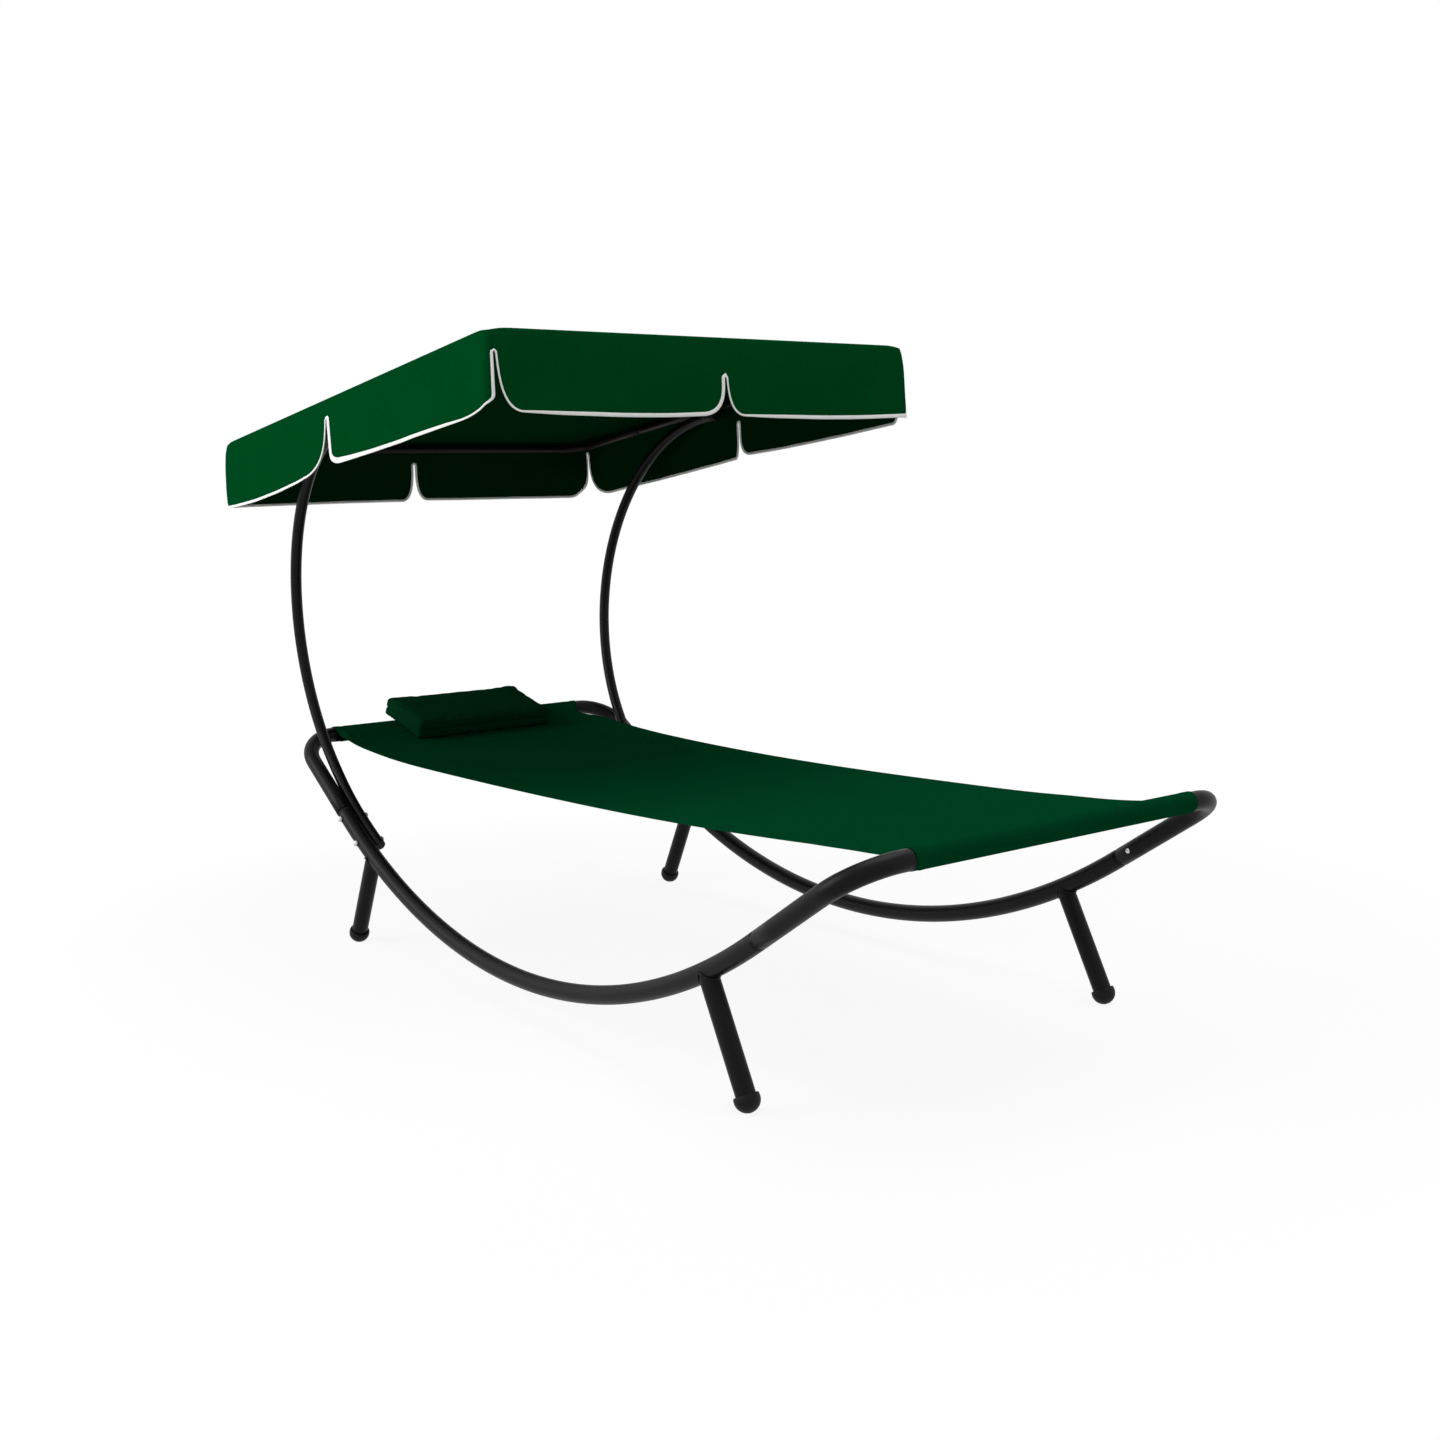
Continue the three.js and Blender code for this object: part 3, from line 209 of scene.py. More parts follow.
class Finishes(bpy.types.PropertyGroup):
    """Colours of the finishes"""

    paint: colour("Frame paint", "#0d0d0e", "Black powder coat of the bed frame and poles")
    # Painted reflection: the canopy frame has the same black paint as the bed frame, tinted warm
    # for the brownish light its tubes reflect under the canopy.
    canopy_paint_reflection_tint: colour("Canopy frame paint", "#1b1411", "Black powder coat of the canopy frame, tinted warm as painted reflection")
    plastic: colour("Plastic", "#0e0e10", "Black plastic of caps, plugs and washers")
    zinc: colour("Zinc", "#d8dade", "Zinc plate of bolts, nuts and screws")
    # Painted shade: the canopy's fastenings are the same zinc plate, drawn dark for the shade under
    # the canopy.
    painted_shade_zinc: colour("Zinc, painted shade", "#1e1e20", "Zinc plate of the canopy's fastenings, drawn dark as painted shade")
    canopy: colour("Canopy cloth", "#00401b", "Green cloth of the canopy")
    # Painted shade: the canopy's inside is the same cloth as its outside, drawn in this darker
    # colour for the shade under the roof.
    painted_inside_shade: colour("Canopy inside, painted shade", "#032610", "Painted shade on the inside of the canopy")
    sling: colour("Sling cloth", "#013a1f", "Green cloth of the sling")
    pillow: colour("Pillow cloth", "#05311b", "Green cloth of the pillow")
    binding: colour("Binding", "#f0f0ee", "White tape along the valance's hem")
    floor: colour("Floor", "#e6e6e4", "Pale floor")


class LoungerSettings(bpy.types.PropertyGroup):
    """All the sizes and colours of the lounger"""

    bed: PointerProperty(type=BedSizes)
    pole: PointerProperty(type=PoleSizes)
    canopy: PointerProperty(type=CanopySizes)
    sling: PointerProperty(type=SlingSizes)
    pillow: PointerProperty(type=PillowSizes)
    finish: PointerProperty(type=Finishes)
    tube_sides: IntProperty(
        name="Tube sides", default=32, min=8, max=96, description="Sides of each round tube"
    )


# Grids and meshes


def put_mesh(name, points, material, body, wrap=OPEN_RING, uv=None, closed=True):
    """A mesh of quads between neighbouring rows and columns of a grid of points.

    wrap says whether the last row, and the last column, meets the first. uv has one row or
    column more than the points where they wrap, so a pattern doesn't run back at the seam.
    closed says that the mesh has no open edge, so its faces can be turned outwards. Its edges of
    more than 50 degrees then stay sharp.
    """
    rows, columns = points.shape[:2]
    across, along = np.meshgrid(
        np.arange(rows - (not wrap[0])), np.arange(columns - (not wrap[1])), indexing="ij"
    )
    i = across.ravel()[:, None] + np.array([0, 0, 1, 1])
    j = along.ravel()[:, None] + np.array([0, 1, 1, 0])
    mesh = bpy.data.meshes.new(name)
    quads = (i % rows) * columns + j % columns
    mesh.from_pydata(points.reshape(-1, 3).tolist(), [], quads.tolist())
    if uv is not None:
        layer = mesh.uv_layers.new(name="Cloth")
        layer.data.foreach_set("uv", uv[i.ravel(), j.ravel()].astype(np.float32).ravel())
    work = bmesh.new()
    work.from_mesh(mesh)
    bmesh.ops.remove_doubles(work, verts=work.verts, dist=1e-6)
    if closed:
        bmesh.ops.recalc_face_normals(work, faces=work.faces)
    work.to_mesh(mesh)
    work.free()
    mesh.shade_smooth()
    if closed:
        mesh.set_sharp_from_angle(angle=math.radians(50))
    mesh.materials.append(material)
    piece = bpy.data.objects.new(name, mesh)
    bpy.context.scene.collection.objects.link(piece)
    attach(piece, body)
    return piece


def stand_for(packed):
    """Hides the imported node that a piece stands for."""
    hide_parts(packed)


def put_pair(name, points, material, body, packed, wrap=OPEN_RING):
    """The left side's piece and its mirrored copy on the right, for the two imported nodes.

    A weld bead has no node of its own: it only gets its finish.
    """
    for side, sign in SIDES:
        piece = put_mesh(f"{name}_{side}", flip(points, sign), material, body, wrap)
        if packed:
            stand_for(f"{packed}_{side}")


def dress(solid, material):
    """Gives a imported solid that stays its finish, on the object and not on its mesh."""
    for holder in solid.material_slots:
        holder.link, holder.material = "OBJECT", material


def unit(vectors):
    """Vectors of length one in the same directions."""
    return vectors / np.linalg.norm(vectors, axis=-1, keepdims=True)


def smooth_step(share):
    """Three times the square less twice the cube of a share, which is kept between 0 and 1."""
    share = np.clip(share, 0, 1)
    return share**2 * (3 - 2 * share)


def bell(distance, width):
    """One at no distance, and less to either side: exp of minus the squared share of the width."""
    return np.exp(-((distance / width) ** 2))


def distances(line):
    """How far along a line each of its points is."""
    return np.concatenate([[0], np.cumsum(np.linalg.norm(np.diff(line, axis=0), axis=1))])


def walk(x, y, heading, steps):
    """Places and headings along runs and bends in a plane.

    Each step is (run, radius, angle, count): the place moves along a straight run, or round a
    circle of that radius through that angle, in equal parts. A bend to the left is positive.
    """
    places = [np.array([[x, y, heading]])]
    for run, radius, bend, count in steps:
        share = np.arange(1, count + 1) / count
        turn = bend * share
        reach = math.copysign(radius, bend)
        go = run * share
        east = x + go * math.cos(heading) + reach * (np.sin(heading + turn) - math.sin(heading))
        north = y + go * math.sin(heading) - reach * (np.cos(heading + turn) - math.cos(heading))
        places.append(np.stack([east, north, heading + turn], 1))
        x, y, heading = places[-1][-1]
    return np.concatenate(places)


def u_route(x, half_width, way, leg, corner, bend_count, rail_count):
    """A flat U from the right side's leg over the rail to the left one, open against way."""
    bend = (0, corner, way * math.pi / 2, bend_count)
    side, rail = (leg, 0, 0, 4), (2 * (half_width - corner), 0, 0, rail_count)
    return walk(x, -half_width, 0 if way > 0 else math.pi, [side, bend, rail, bend, side])


def lay(route, origin, along, across):
    """Points, side directions and the cross direction of a flat route that is laid in space.

    A place is origin + x * along + y * across, and its side direction is its heading turned
    a quarter to the left in that plane.
    """
    x, y, heading = (route[:, k : k + 1] for k in range(3))
    points = origin + x * along + y * across
    side = -np.sin(heading) * along + np.cos(heading) * across
    return points, side, np.cross(along, across)


def rings(points, side, cross, radius, count):
    """Circles of points round each place: place + radius * (cos * side + sin * cross).

    cross is one direction, or one for each place with an axis for the circle between.
    """
    turn = np.linspace(0, 2 * math.pi, count, endpoint=False)[None, :, None]
    radius = np.broadcast_to(np.asarray(radius, float), (len(points),))[:, None, None]
    return points[:, None] + radius * (np.cos(turn) * side[:, None] + np.sin(turn) * cross)


def pipe(laid, outer, wall, count, lip=0.0004):
    """A hollow tube: the outer skin from end to end, then the bore back again.

    The rim of each end is rounded by a lip, and the grid's last row meets its first.
    """
    points, side, cross = laid
    outer = np.broadcast_to(np.asarray(outer, float), (len(points),))
    ahead = unit(np.gradient(points, axis=0))
    out = np.arange(len(points))
    order = np.concatenate([[0, 0], out, [-1, -1], out[-2:0:-1]])
    radius = np.concatenate([
        [outer[0] - wall, outer[0] - lip], outer, [outer[-1] - lip, outer[-1] - wall],
        (outer - wall)[-2:0:-1],
    ])
    middle = points[order].copy()
    middle[2] += lip * ahead[0]
    middle[len(points) + 1] -= lip * ahead[-1]
    return rings(middle, side[order], cross, radius, count)


def turned(profile, count, corner=None):
    """A turned surface round +Z, with radius and height from a profile that ends on the axis.

    corner is the hexagon's corner radius where the piece has flats: the radius at a turn is
    then the smaller of the profile's and the flat's, flat / cos(turn to the flat's middle).
    """
    radius, height = np.asarray(profile, float).T
    turn = np.linspace(0, 2 * math.pi, count, endpoint=False)
    reach = np.repeat(radius[:, None], count, 1)
    if corner:
        flat = corner * math.cos(math.pi / 6)
        reach = np.minimum(reach, flat / np.cos(turn % (math.pi / 3) - math.pi / 6))
    level = np.repeat(height[:, None], count, 1)
    return np.stack([reach * np.cos(turn), reach * np.sin(turn), level], -1)


def aim(points, place, direction):
    """Points round +Z, turned so that +Z points along a direction, and moved to a place."""
    turn = np.array(Vector(direction).to_track_quat("Z", "Y").to_matrix())
    return points @ turn.T + np.asarray(place, float)


def dome(radius, rise, base=0.0, steps=8):
    """The profile of a dome that is radius wide at its base and rise high, ending on the axis."""
    turn = np.linspace(0, math.pi / 2, steps)
    return [(radius * math.cos(t), base + rise * math.sin(t)) for t in turn]


def flip(points, sign):
    """The other side's copy of a surface, with Y turned over."""
    return points * np.array([1.0, sign, 1.0])


def smooth_curve(x, knots, values):
    """A natural cubic curve through the knots: its second slopes solve a banded system."""
    knots, values = np.asarray(knots, float), np.asarray(values, float)
    h = np.diff(knots)
    size = len(knots)
    system = np.eye(size)
    inner = np.arange(1, size - 1)
    system[inner, inner - 1] = h[:-1]
    system[inner, inner] = 2 * (h[:-1] + h[1:])
    system[inner, inner + 1] = h[1:]
    slopes = np.diff(values) / h
    right = np.zeros(size)
    right[1:-1] = 6 * np.diff(slopes)
    bends = np.linalg.solve(system, right)
    k = np.clip(np.searchsorted(knots, x, side="right") - 1, 0, size - 2)
    a, b = knots[k + 1] - x, x - knots[k]
    return (
        (bends[k] * a**3 + bends[k + 1] * b**3) / (6 * h[k])
        + (values[k] / h[k] - bends[k] * h[k] / 6) * a
        + (values[k + 1] / h[k] - bends[k + 1] * h[k] / 6) * b
    )


def evenly(line, count):
    """A flat line's places at even distances along it. A third column is carried along."""
    steps = distances(line[:, :2])
    at = np.linspace(0, steps[-1], count)
    return np.stack([np.interp(at, steps, line[:, k]) for k in range(line.shape[1])], 1)


# Places that several pieces share


def bed_places(sizes):
    """Sizes of the bed that follow from the ones a user sets."""
    made = SimpleNamespace()
    made.middle = (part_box("head_rail_tube")[0].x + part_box("foot_rail_tube")[1].x) / 2
    made.arc_angle = math.asin(sizes.arc_half_span / sizes.arc_radius)
    made.arc_run = sizes.arc_radius * made.arc_angle
    made.arc_centre = sizes.arc_lowest + sizes.arc_radius
    made.joint = made.arc_run + sizes.joint_run
    made.rail = side_place(sizes, made, made.arc_run + sizes.end_run)
    return made


def side_place(sizes, bed, run):
    """X, Z and slope of a side tube's centre line at a signed run from its lowest point.

    The line is an arc in the middle, and goes on straight along the arc's end tangents.
    """
    bent = np.clip(run, -bed.arc_run, bed.arc_run)
    slope = bent / sizes.arc_radius
    spare = run - bent
    x = bed.middle + sizes.arc_radius * np.sin(slope) + spare * np.cos(slope)
    z = bed.arc_centre - sizes.arc_radius * np.cos(slope) + spare * np.sin(slope)
    return SimpleNamespace(x=x, z=z, slope=slope)


def pole_places(settings):
    """Sizes of the poles that follow from the ones a user sets."""
    sizes, pole, canopy = settings.bed, settings.pole, settings.canopy
    bed = bed_places(sizes)
    made = SimpleNamespace(bed=bed)
    end = side_place(sizes, bed, -bed.arc_run)
    made.centre_x = end.x + pole.arc_radius * math.sin(bed.arc_angle)
    made.centre_z = end.z + pole.arc_radius * math.cos(bed.arc_angle)
    made.pivot_x = made.centre_x - pole.arc_radius * math.sin(pole.pivot_heading)
    made.pivot_z = made.centre_z + pole.arc_radius * math.cos(pole.pivot_heading)
    made.clamp_y = sizes.half_width - sizes.tube_radius - sizes.gap - pole.radius
    made.frame_y = canopy.half_width - canopy.tube_inset
    made.top_y = made.frame_y - canopy.tube_radius - sizes.gap - pole.radius
    made.lean_from = side_place(sizes, bed, pole.bolt_upper - bed.joint).z
    height = made.pivot_z - made.lean_from - pole.lean_blend / 2
    made.lean_rate = (made.top_y - made.clamp_y) / height
    return made


def lean(pole, places, height):
    """How far a pole stands outward at a height: none at its clamp, then steadily more."""
    above = np.maximum(0, height - places.lean_from)
    blend = np.minimum(above, pole.lean_blend)
    return places.lean_rate * (above - blend + blend**2 / (2 * pole.lean_blend))


def pole_route(settings, places):
    """A pole's flat route in X and Z: along the side arc, round one large bend, and a tip."""
    sizes, pole, bed = settings.bed, settings.pole, places.bed
    foot = side_place(sizes, bed, pole.foot_run - bed.joint)
    steps = [
        (0, sizes.arc_radius, -foot.slope - bed.arc_angle, 12),
        (0, pole.arc_radius, pole.pivot_heading - (math.pi - bed.arc_angle), 96),
        (pole.top_overhang, 0, 0, 2),
    ]
    return walk(foot.x, foot.z, math.pi + foot.slope, steps)


def roof_frame(settings, points):
    """Points of the canopy's own frame, whose roof is level, tilted about the pivot."""
    places = pole_places(settings)
    tilt = settings.canopy.tilt
    x = points[..., 0] * math.cos(tilt) - points[..., 2] * math.sin(tilt) + places.pivot_x
    z = points[..., 0] * math.sin(tilt) + points[..., 2] * math.cos(tilt) + places.pivot_z
    return np.stack([x, points[..., 1], z], -1)


def hang(settings, points):
    """Cloth of the canopy's own frame that hangs straight down from the tilted roof.

    A point below the roof moves back along it by depth * sin(tilt), and down by
    depth * cos(tilt), before the whole is tilted.
    """
    tilt, rise = settings.canopy.tilt, settings.canopy.rise + settings.canopy.loft
    x = points[..., 0] + points[..., 2] * math.sin(tilt)
    z = rise + points[..., 2] * math.cos(tilt)
    return roof_frame(settings, np.stack([x, points[..., 1], z], -1))


# Finishes


def fill(tree, made, inputs):
    """Gives a node's inputs their values, or links them to other nodes' outputs."""
    for name, value in inputs.items():
        if isinstance(value, bpy.types.NodeSocket):
            tree.links.new(value, made.inputs[name])
        else:
            made.inputs[name].default_value = value


def node(tree, kind, inputs=None, **settings):
    """Adds a node, sets it up, and fills its inputs."""
    made = tree.nodes.new(kind)
    for name, value in settings.items():
        setattr(made, name, value)
    fill(tree, made, inputs or {})
    return made


def new_finish(name):
    """A material of that name, and its tree and shader, or neither where it was there before."""
    made = bpy.data.materials.get(name)
    if made:
        return made, None, None
    made = bpy.data.materials.new(name)
    made.use_nodes = True
    tree = made.node_tree
    tree.nodes.clear()
    shader = node(tree, "ShaderNodeBsdfPrincipled")
    node(tree, "ShaderNodeOutputMaterial", {"Surface": shader.outputs[0]})
    return made, tree, shader


def tones(base, low, high):
    """The dark and the light end of a Mix node's colours: a base colour times low, and high."""
    return {6: (*[c * low for c in base], 1), 7: (*[min(1, c * high) for c in base], 1)}


def powder_coated_steel(name, base):
    """Powder coat baked on steel tube: a satin film with a faint orange peel about 2 mm wide.

    The peel breaks up its highlights a little, and its tone and gloss drift over about 90 mm.
    """
    made, tree, shader = new_finish(name)
    if not tree:
        return made
    place = node(tree, "ShaderNodeTexCoord").outputs["Object"]
    drift = node(tree, "ShaderNodeTexNoise", {"Vector": place, "Scale": 1 / 0.09, "Detail": 3})
    peel = node(tree, "ShaderNodeTexNoise", {"Vector": place, "Scale": 1 / 0.002, "Detail": 2})
    tint = node(
        tree, "ShaderNodeMix", {0: drift.outputs[0], **tones(base, 0.88, 1.14)}, data_type="RGBA"
    )
    gloss = node(tree, "ShaderNodeMapRange", {"Value": drift.outputs[0], 3: 0.34, 4: 0.46})
    bump = node(
        tree, "ShaderNodeBump", {"Height": peel.outputs[0], "Strength": 0.25, "Distance": 0.00012}
    )
    fill(tree, shader, {
        "Base Color": tint.outputs[2], "Roughness": gloss.outputs[0],
        "Specular IOR Level": 0.11, "Normal": bump.outputs[0],
    })
    return made


def moulded_polyethylene(name, base):
    """Injection-moulded polyethylene: waxy and matt, with a fine spark-eroded grain of 0.6 mm.

    Scuffs about 12 mm wide are lighter, and rougher.
    """
    made, tree, shader = new_finish(name)
    if not tree:
        return made
    place = node(tree, "ShaderNodeTexCoord").outputs["Object"]
    grain = node(tree, "ShaderNodeTexNoise", {"Vector": place, "Scale": 1 / 0.0006, "Detail": 3})
    scuff = node(tree, "ShaderNodeTexNoise", {"Vector": place, "Scale": 1 / 0.012, "Detail": 5})
    tint = node(
        tree, "ShaderNodeMix", {0: scuff.outputs[0], **tones(base, 0.8, 1.35)}, data_type="RGBA"
    )
    gloss = node(tree, "ShaderNodeMapRange", {"Value": scuff.outputs[0], 3: 0.45, 4: 0.62})
    bump = node(
        tree, "ShaderNodeBump", {"Height": grain.outputs[0], "Strength": 0.3, "Distance": 0.0001}
    )
    fill(tree, shader, {
        "Base Color": tint.outputs[2], "Roughness": gloss.outputs[0],
        "Specular IOR Level": 0.15, "Normal": bump.outputs[0],
    })
    return made


def zinc_plated_steel(name, base):
    """Zinc plate on cold-headed steel: a satin metal with faint cloudy patches of 4 mm.

    A dark base colour makes it painted shade: the same zinc drawn dark for the shade under the
    canopy. The patches and the gloss are kept, and only its colour is dark.
    """
    made, tree, shader = new_finish(name)
    if not tree:
        return made
    place = node(tree, "ShaderNodeTexCoord").outputs["Object"]
    cloud = node(tree, "ShaderNodeTexNoise", {"Vector": place, "Scale": 1 / 0.004, "Detail": 4})
    tint = node(
        tree, "ShaderNodeMix", {0: cloud.outputs[0], **tones(base, 0.86, 1.04)}, data_type="RGBA"
    )
    gloss = node(tree, "ShaderNodeMapRange", {"Value": cloud.outputs[0], 3: 0.4, 4: 0.58})
    fill(tree, shader, {
        "Base Color": tint.outputs[2], "Roughness": gloss.outputs[0], "Metallic": 1.0,
    })
    return made


def woven_cloth(name, base, thread, relief, rough):
    """Plain-woven cloth: warp and weft threads that pass over each other in turn.

    Threads are half a millimetre apart in the real cloth. They are drawn as far apart as
    thread says, because the real ones are too fine to show. Height goes as the squared sine
    across a warp thread on one colour of a checker, and across a weft thread on the other,
    and relief is how far the bump takes it. Slubs about 30 mm long and a drift in the dye over
    about 160 mm keep it from being one flat colour.
    """
    made, tree, shader = new_finish(name)
    if not tree:
        return made
    place = node(tree, "ShaderNodeUVMap", uv_map="Cloth").outputs[0]
    across = node(tree, "ShaderNodeVectorMath", {0: place, "Scale": 1 / thread}, operation="SCALE")
    parts = node(tree, "ShaderNodeSeparateXYZ", {0: across.outputs[0]})
    threads = []
    for axis in (0, 1):
        turn = node(
            tree, "ShaderNodeMath", {0: parts.outputs[axis], 1: math.pi}, operation="MULTIPLY"
        )
        wave = node(tree, "ShaderNodeMath", {0: turn.outputs[0]}, operation="SINE").outputs[0]
        squared = node(tree, "ShaderNodeMath", {0: wave, 1: wave}, operation="MULTIPLY")
        threads.append(squared.outputs[0])
    checker = node(tree, "ShaderNodeTexChecker", {"Vector": across.outputs[0], "Scale": 1.0})
    weave = node(tree, "ShaderNodeMix", {0: checker.outputs[1], 2: threads[0], 3: threads[1]})
    slub_place = node(tree, "ShaderNodeMapping", {0: place, 3: (1 / 0.03, 1 / 0.004, 1)})
    slub = node(
        tree, "ShaderNodeTexNoise", {"Vector": slub_place.outputs[0], "Scale": 1.0, "Detail": 3}
    )
    drift = node(tree, "ShaderNodeTexNoise", {"Vector": place, "Scale": 1 / 0.16, "Detail": 4})
    mottle = 0.1
    for part, share in ((slub, 0.35), (weave, 0.3), (drift, 0.45)):
        mottle = node(
            tree, "ShaderNodeMath", {0: part.outputs[0], 1: share, 2: mottle},
            operation="MULTIPLY_ADD",
        ).outputs[0]
    tint = node(tree, "ShaderNodeMix", {0: mottle, **tones(base, 0.72, 1.22)}, data_type="RGBA")
    height = node(
        tree, "ShaderNodeMath", {0: slub.outputs[0], 1: 0.4, 2: weave.outputs[0]},
        operation="MULTIPLY_ADD",
    )
    bump = node(
        tree, "ShaderNodeBump", {"Height": height.outputs[0], "Strength": 0.6, "Distance": relief}
    )
    fill(tree, shader, {
        "Base Color": tint.outputs[2], "Roughness": rough,
        "Specular IOR Level": 0.0, "Normal": bump.outputs[0],
    })
    return made


def binding_tape(name, base):
    """Woven polypropylene tape, folded over the hem: white, with fine ribs across it.

    They are drawn 1.6 mm apart, because the real ones are too fine to show.
    """
    made, tree, shader = new_finish(name)
    if not tree:
        return made
    place = node(tree, "ShaderNodeUVMap", uv_map="Cloth").outputs[0]
    parts = node(tree, "ShaderNodeSeparateXYZ", {0: place})
    turn = node(
        tree, "ShaderNodeMath", {0: parts.outputs[0], 1: 2 * math.pi / 0.0016},
        operation="MULTIPLY",
    )
    rib = node(tree, "ShaderNodeMath", {0: turn.outputs[0]}, operation="SINE")
    drift = node(tree, "ShaderNodeTexNoise", {"Vector": place, "Scale": 1 / 0.05, "Detail": 3})
    tint = node(
        tree, "ShaderNodeMix", {0: drift.outputs[0], **tones(base, 0.9, 1.02)}, data_type="RGBA"
    )
    bump = node(
        tree, "ShaderNodeBump", {"Height": rib.outputs[0], "Strength": 0.4, "Distance": 0.00015}
    )
    fill(tree, shader, {
        "Base Color": tint.outputs[2], "Roughness": 0.75, "Sheen Weight": 0.1,
        "Normal": bump.outputs[0],
    })
    return made


def floor_finish(name, base):
    """Pale matt paper: it keeps shadows near the lounger, and is lifted to white further out.

    The lift is light of its own that only the camera and reflections see. Its share goes from
    0.88 at 1.3 m from the middle to 1 at 2.6 m, so the paper has no visible end.
    """
    made, tree, shader = new_finish(name)
    fill(tree, shader, {"Base Color": (*base, 1), "Roughness": 0.9, "Specular IOR Level": 0.0})
    place = node(tree, "ShaderNodeTexCoord").outputs["Object"]
    away = node(tree, "ShaderNodeVectorMath", {0: place}, operation="LENGTH")
    lift = node(
        tree, "ShaderNodeMapRange",
        {"Value": away.outputs["Value"], 1: 1.3, 2: 2.6, 3: 0.88, 4: 1.0},
        interpolation_type="SMOOTHSTEP",
    )
    seen = node(tree, "ShaderNodeLightPath").outputs
    either = node(
        tree, "ShaderNodeMath", {0: seen["Is Camera Ray"], 1: seen["Is Glossy Ray"]},
        operation="MAXIMUM",
    )
    share = node(
        tree, "ShaderNodeMath", {0: either.outputs[0], 1: lift.outputs[0]}, operation="MULTIPLY"
    )
    glow = node(tree, "ShaderNodeEmission", {"Color": (1, 1, 1, 1), "Strength": 1.02})
    mix = node(
        tree, "ShaderNodeMixShader", {0: share.outputs[0], 1: shader.outputs[0], 2: glow.outputs[0]}
    )
    output = next(n for n in tree.nodes if n.type == "OUTPUT_MATERIAL")
    fill(tree, output, {"Surface": mix.outputs[0]})
    return made


# Pieces


class LOUNGER_OT_bed_tubes(bpy.types.Operator):
    """Builds the two U tubes and the two bowed side tubes"""

    bl_idname = "lounger.bed_tubes"
    bl_label = "Bed tubes"

    def execute(self, context):
        settings = context.scene.lounger
        sizes, bed = settings.bed, bed_places(settings.bed)
        paint = powder_coated_steel(PAINT, settings.finish.paint)
        leg = bed.arc_run + sizes.end_run - bed.joint - sizes.corner_radius
        route = u_route(0, sizes.half_width, 1, leg, sizes.corner_radius, 20, 12)
        for end, way in ENDS:
            mouth = side_place(sizes, bed, way * bed.joint)
            along = np.array([way * math.cos(bed.arc_angle), 0, math.sin(bed.arc_angle)])
            laid = lay(route, np.array([mouth.x, 0, mouth.z]), along, Y_AXIS)
            points = pipe(laid, sizes.tube_radius, sizes.tube_wall, settings.tube_sides)
            piece = put_mesh(f"{end}_u_tube", points, paint, "bed", CLOSED_RING)
            stand_for(f"{end}_rail_tube")
        points = self.side_tube(settings, bed)
        put_pair("bowed_tube", points, paint, "bed", "side_tube", CLOSED_RING)
        return {"FINISHED"}

    def side_tube(self, settings, bed):
        """A tube along the side line, whose radius narrows to the spigots by a smooth step."""
        sizes = settings.bed
        reach = bed.joint + sizes.spigot
        bends = np.linspace(-bed.arc_run, bed.arc_run, 97)
        step = np.linspace(bed.joint - sizes.swage, bed.joint, 7)
        run = np.concatenate([[-reach], -step[::-1], bends, step, [reach]])
        place = side_place(sizes, bed, run)
        route = np.stack([place.x, place.z, place.slope], 1)
        narrow = sizes.tube_radius - sizes.tube_wall - sizes.gap
        share = smooth_step((np.abs(run) - step[0]) / sizes.swage)
        radius = sizes.tube_radius - (sizes.tube_radius - narrow) * share
        laid = lay(route, sizes.half_width * Y_AXIS, X_AXIS, Z_AXIS)
        return pipe(laid, radius, sizes.tube_wall, settings.tube_sides)


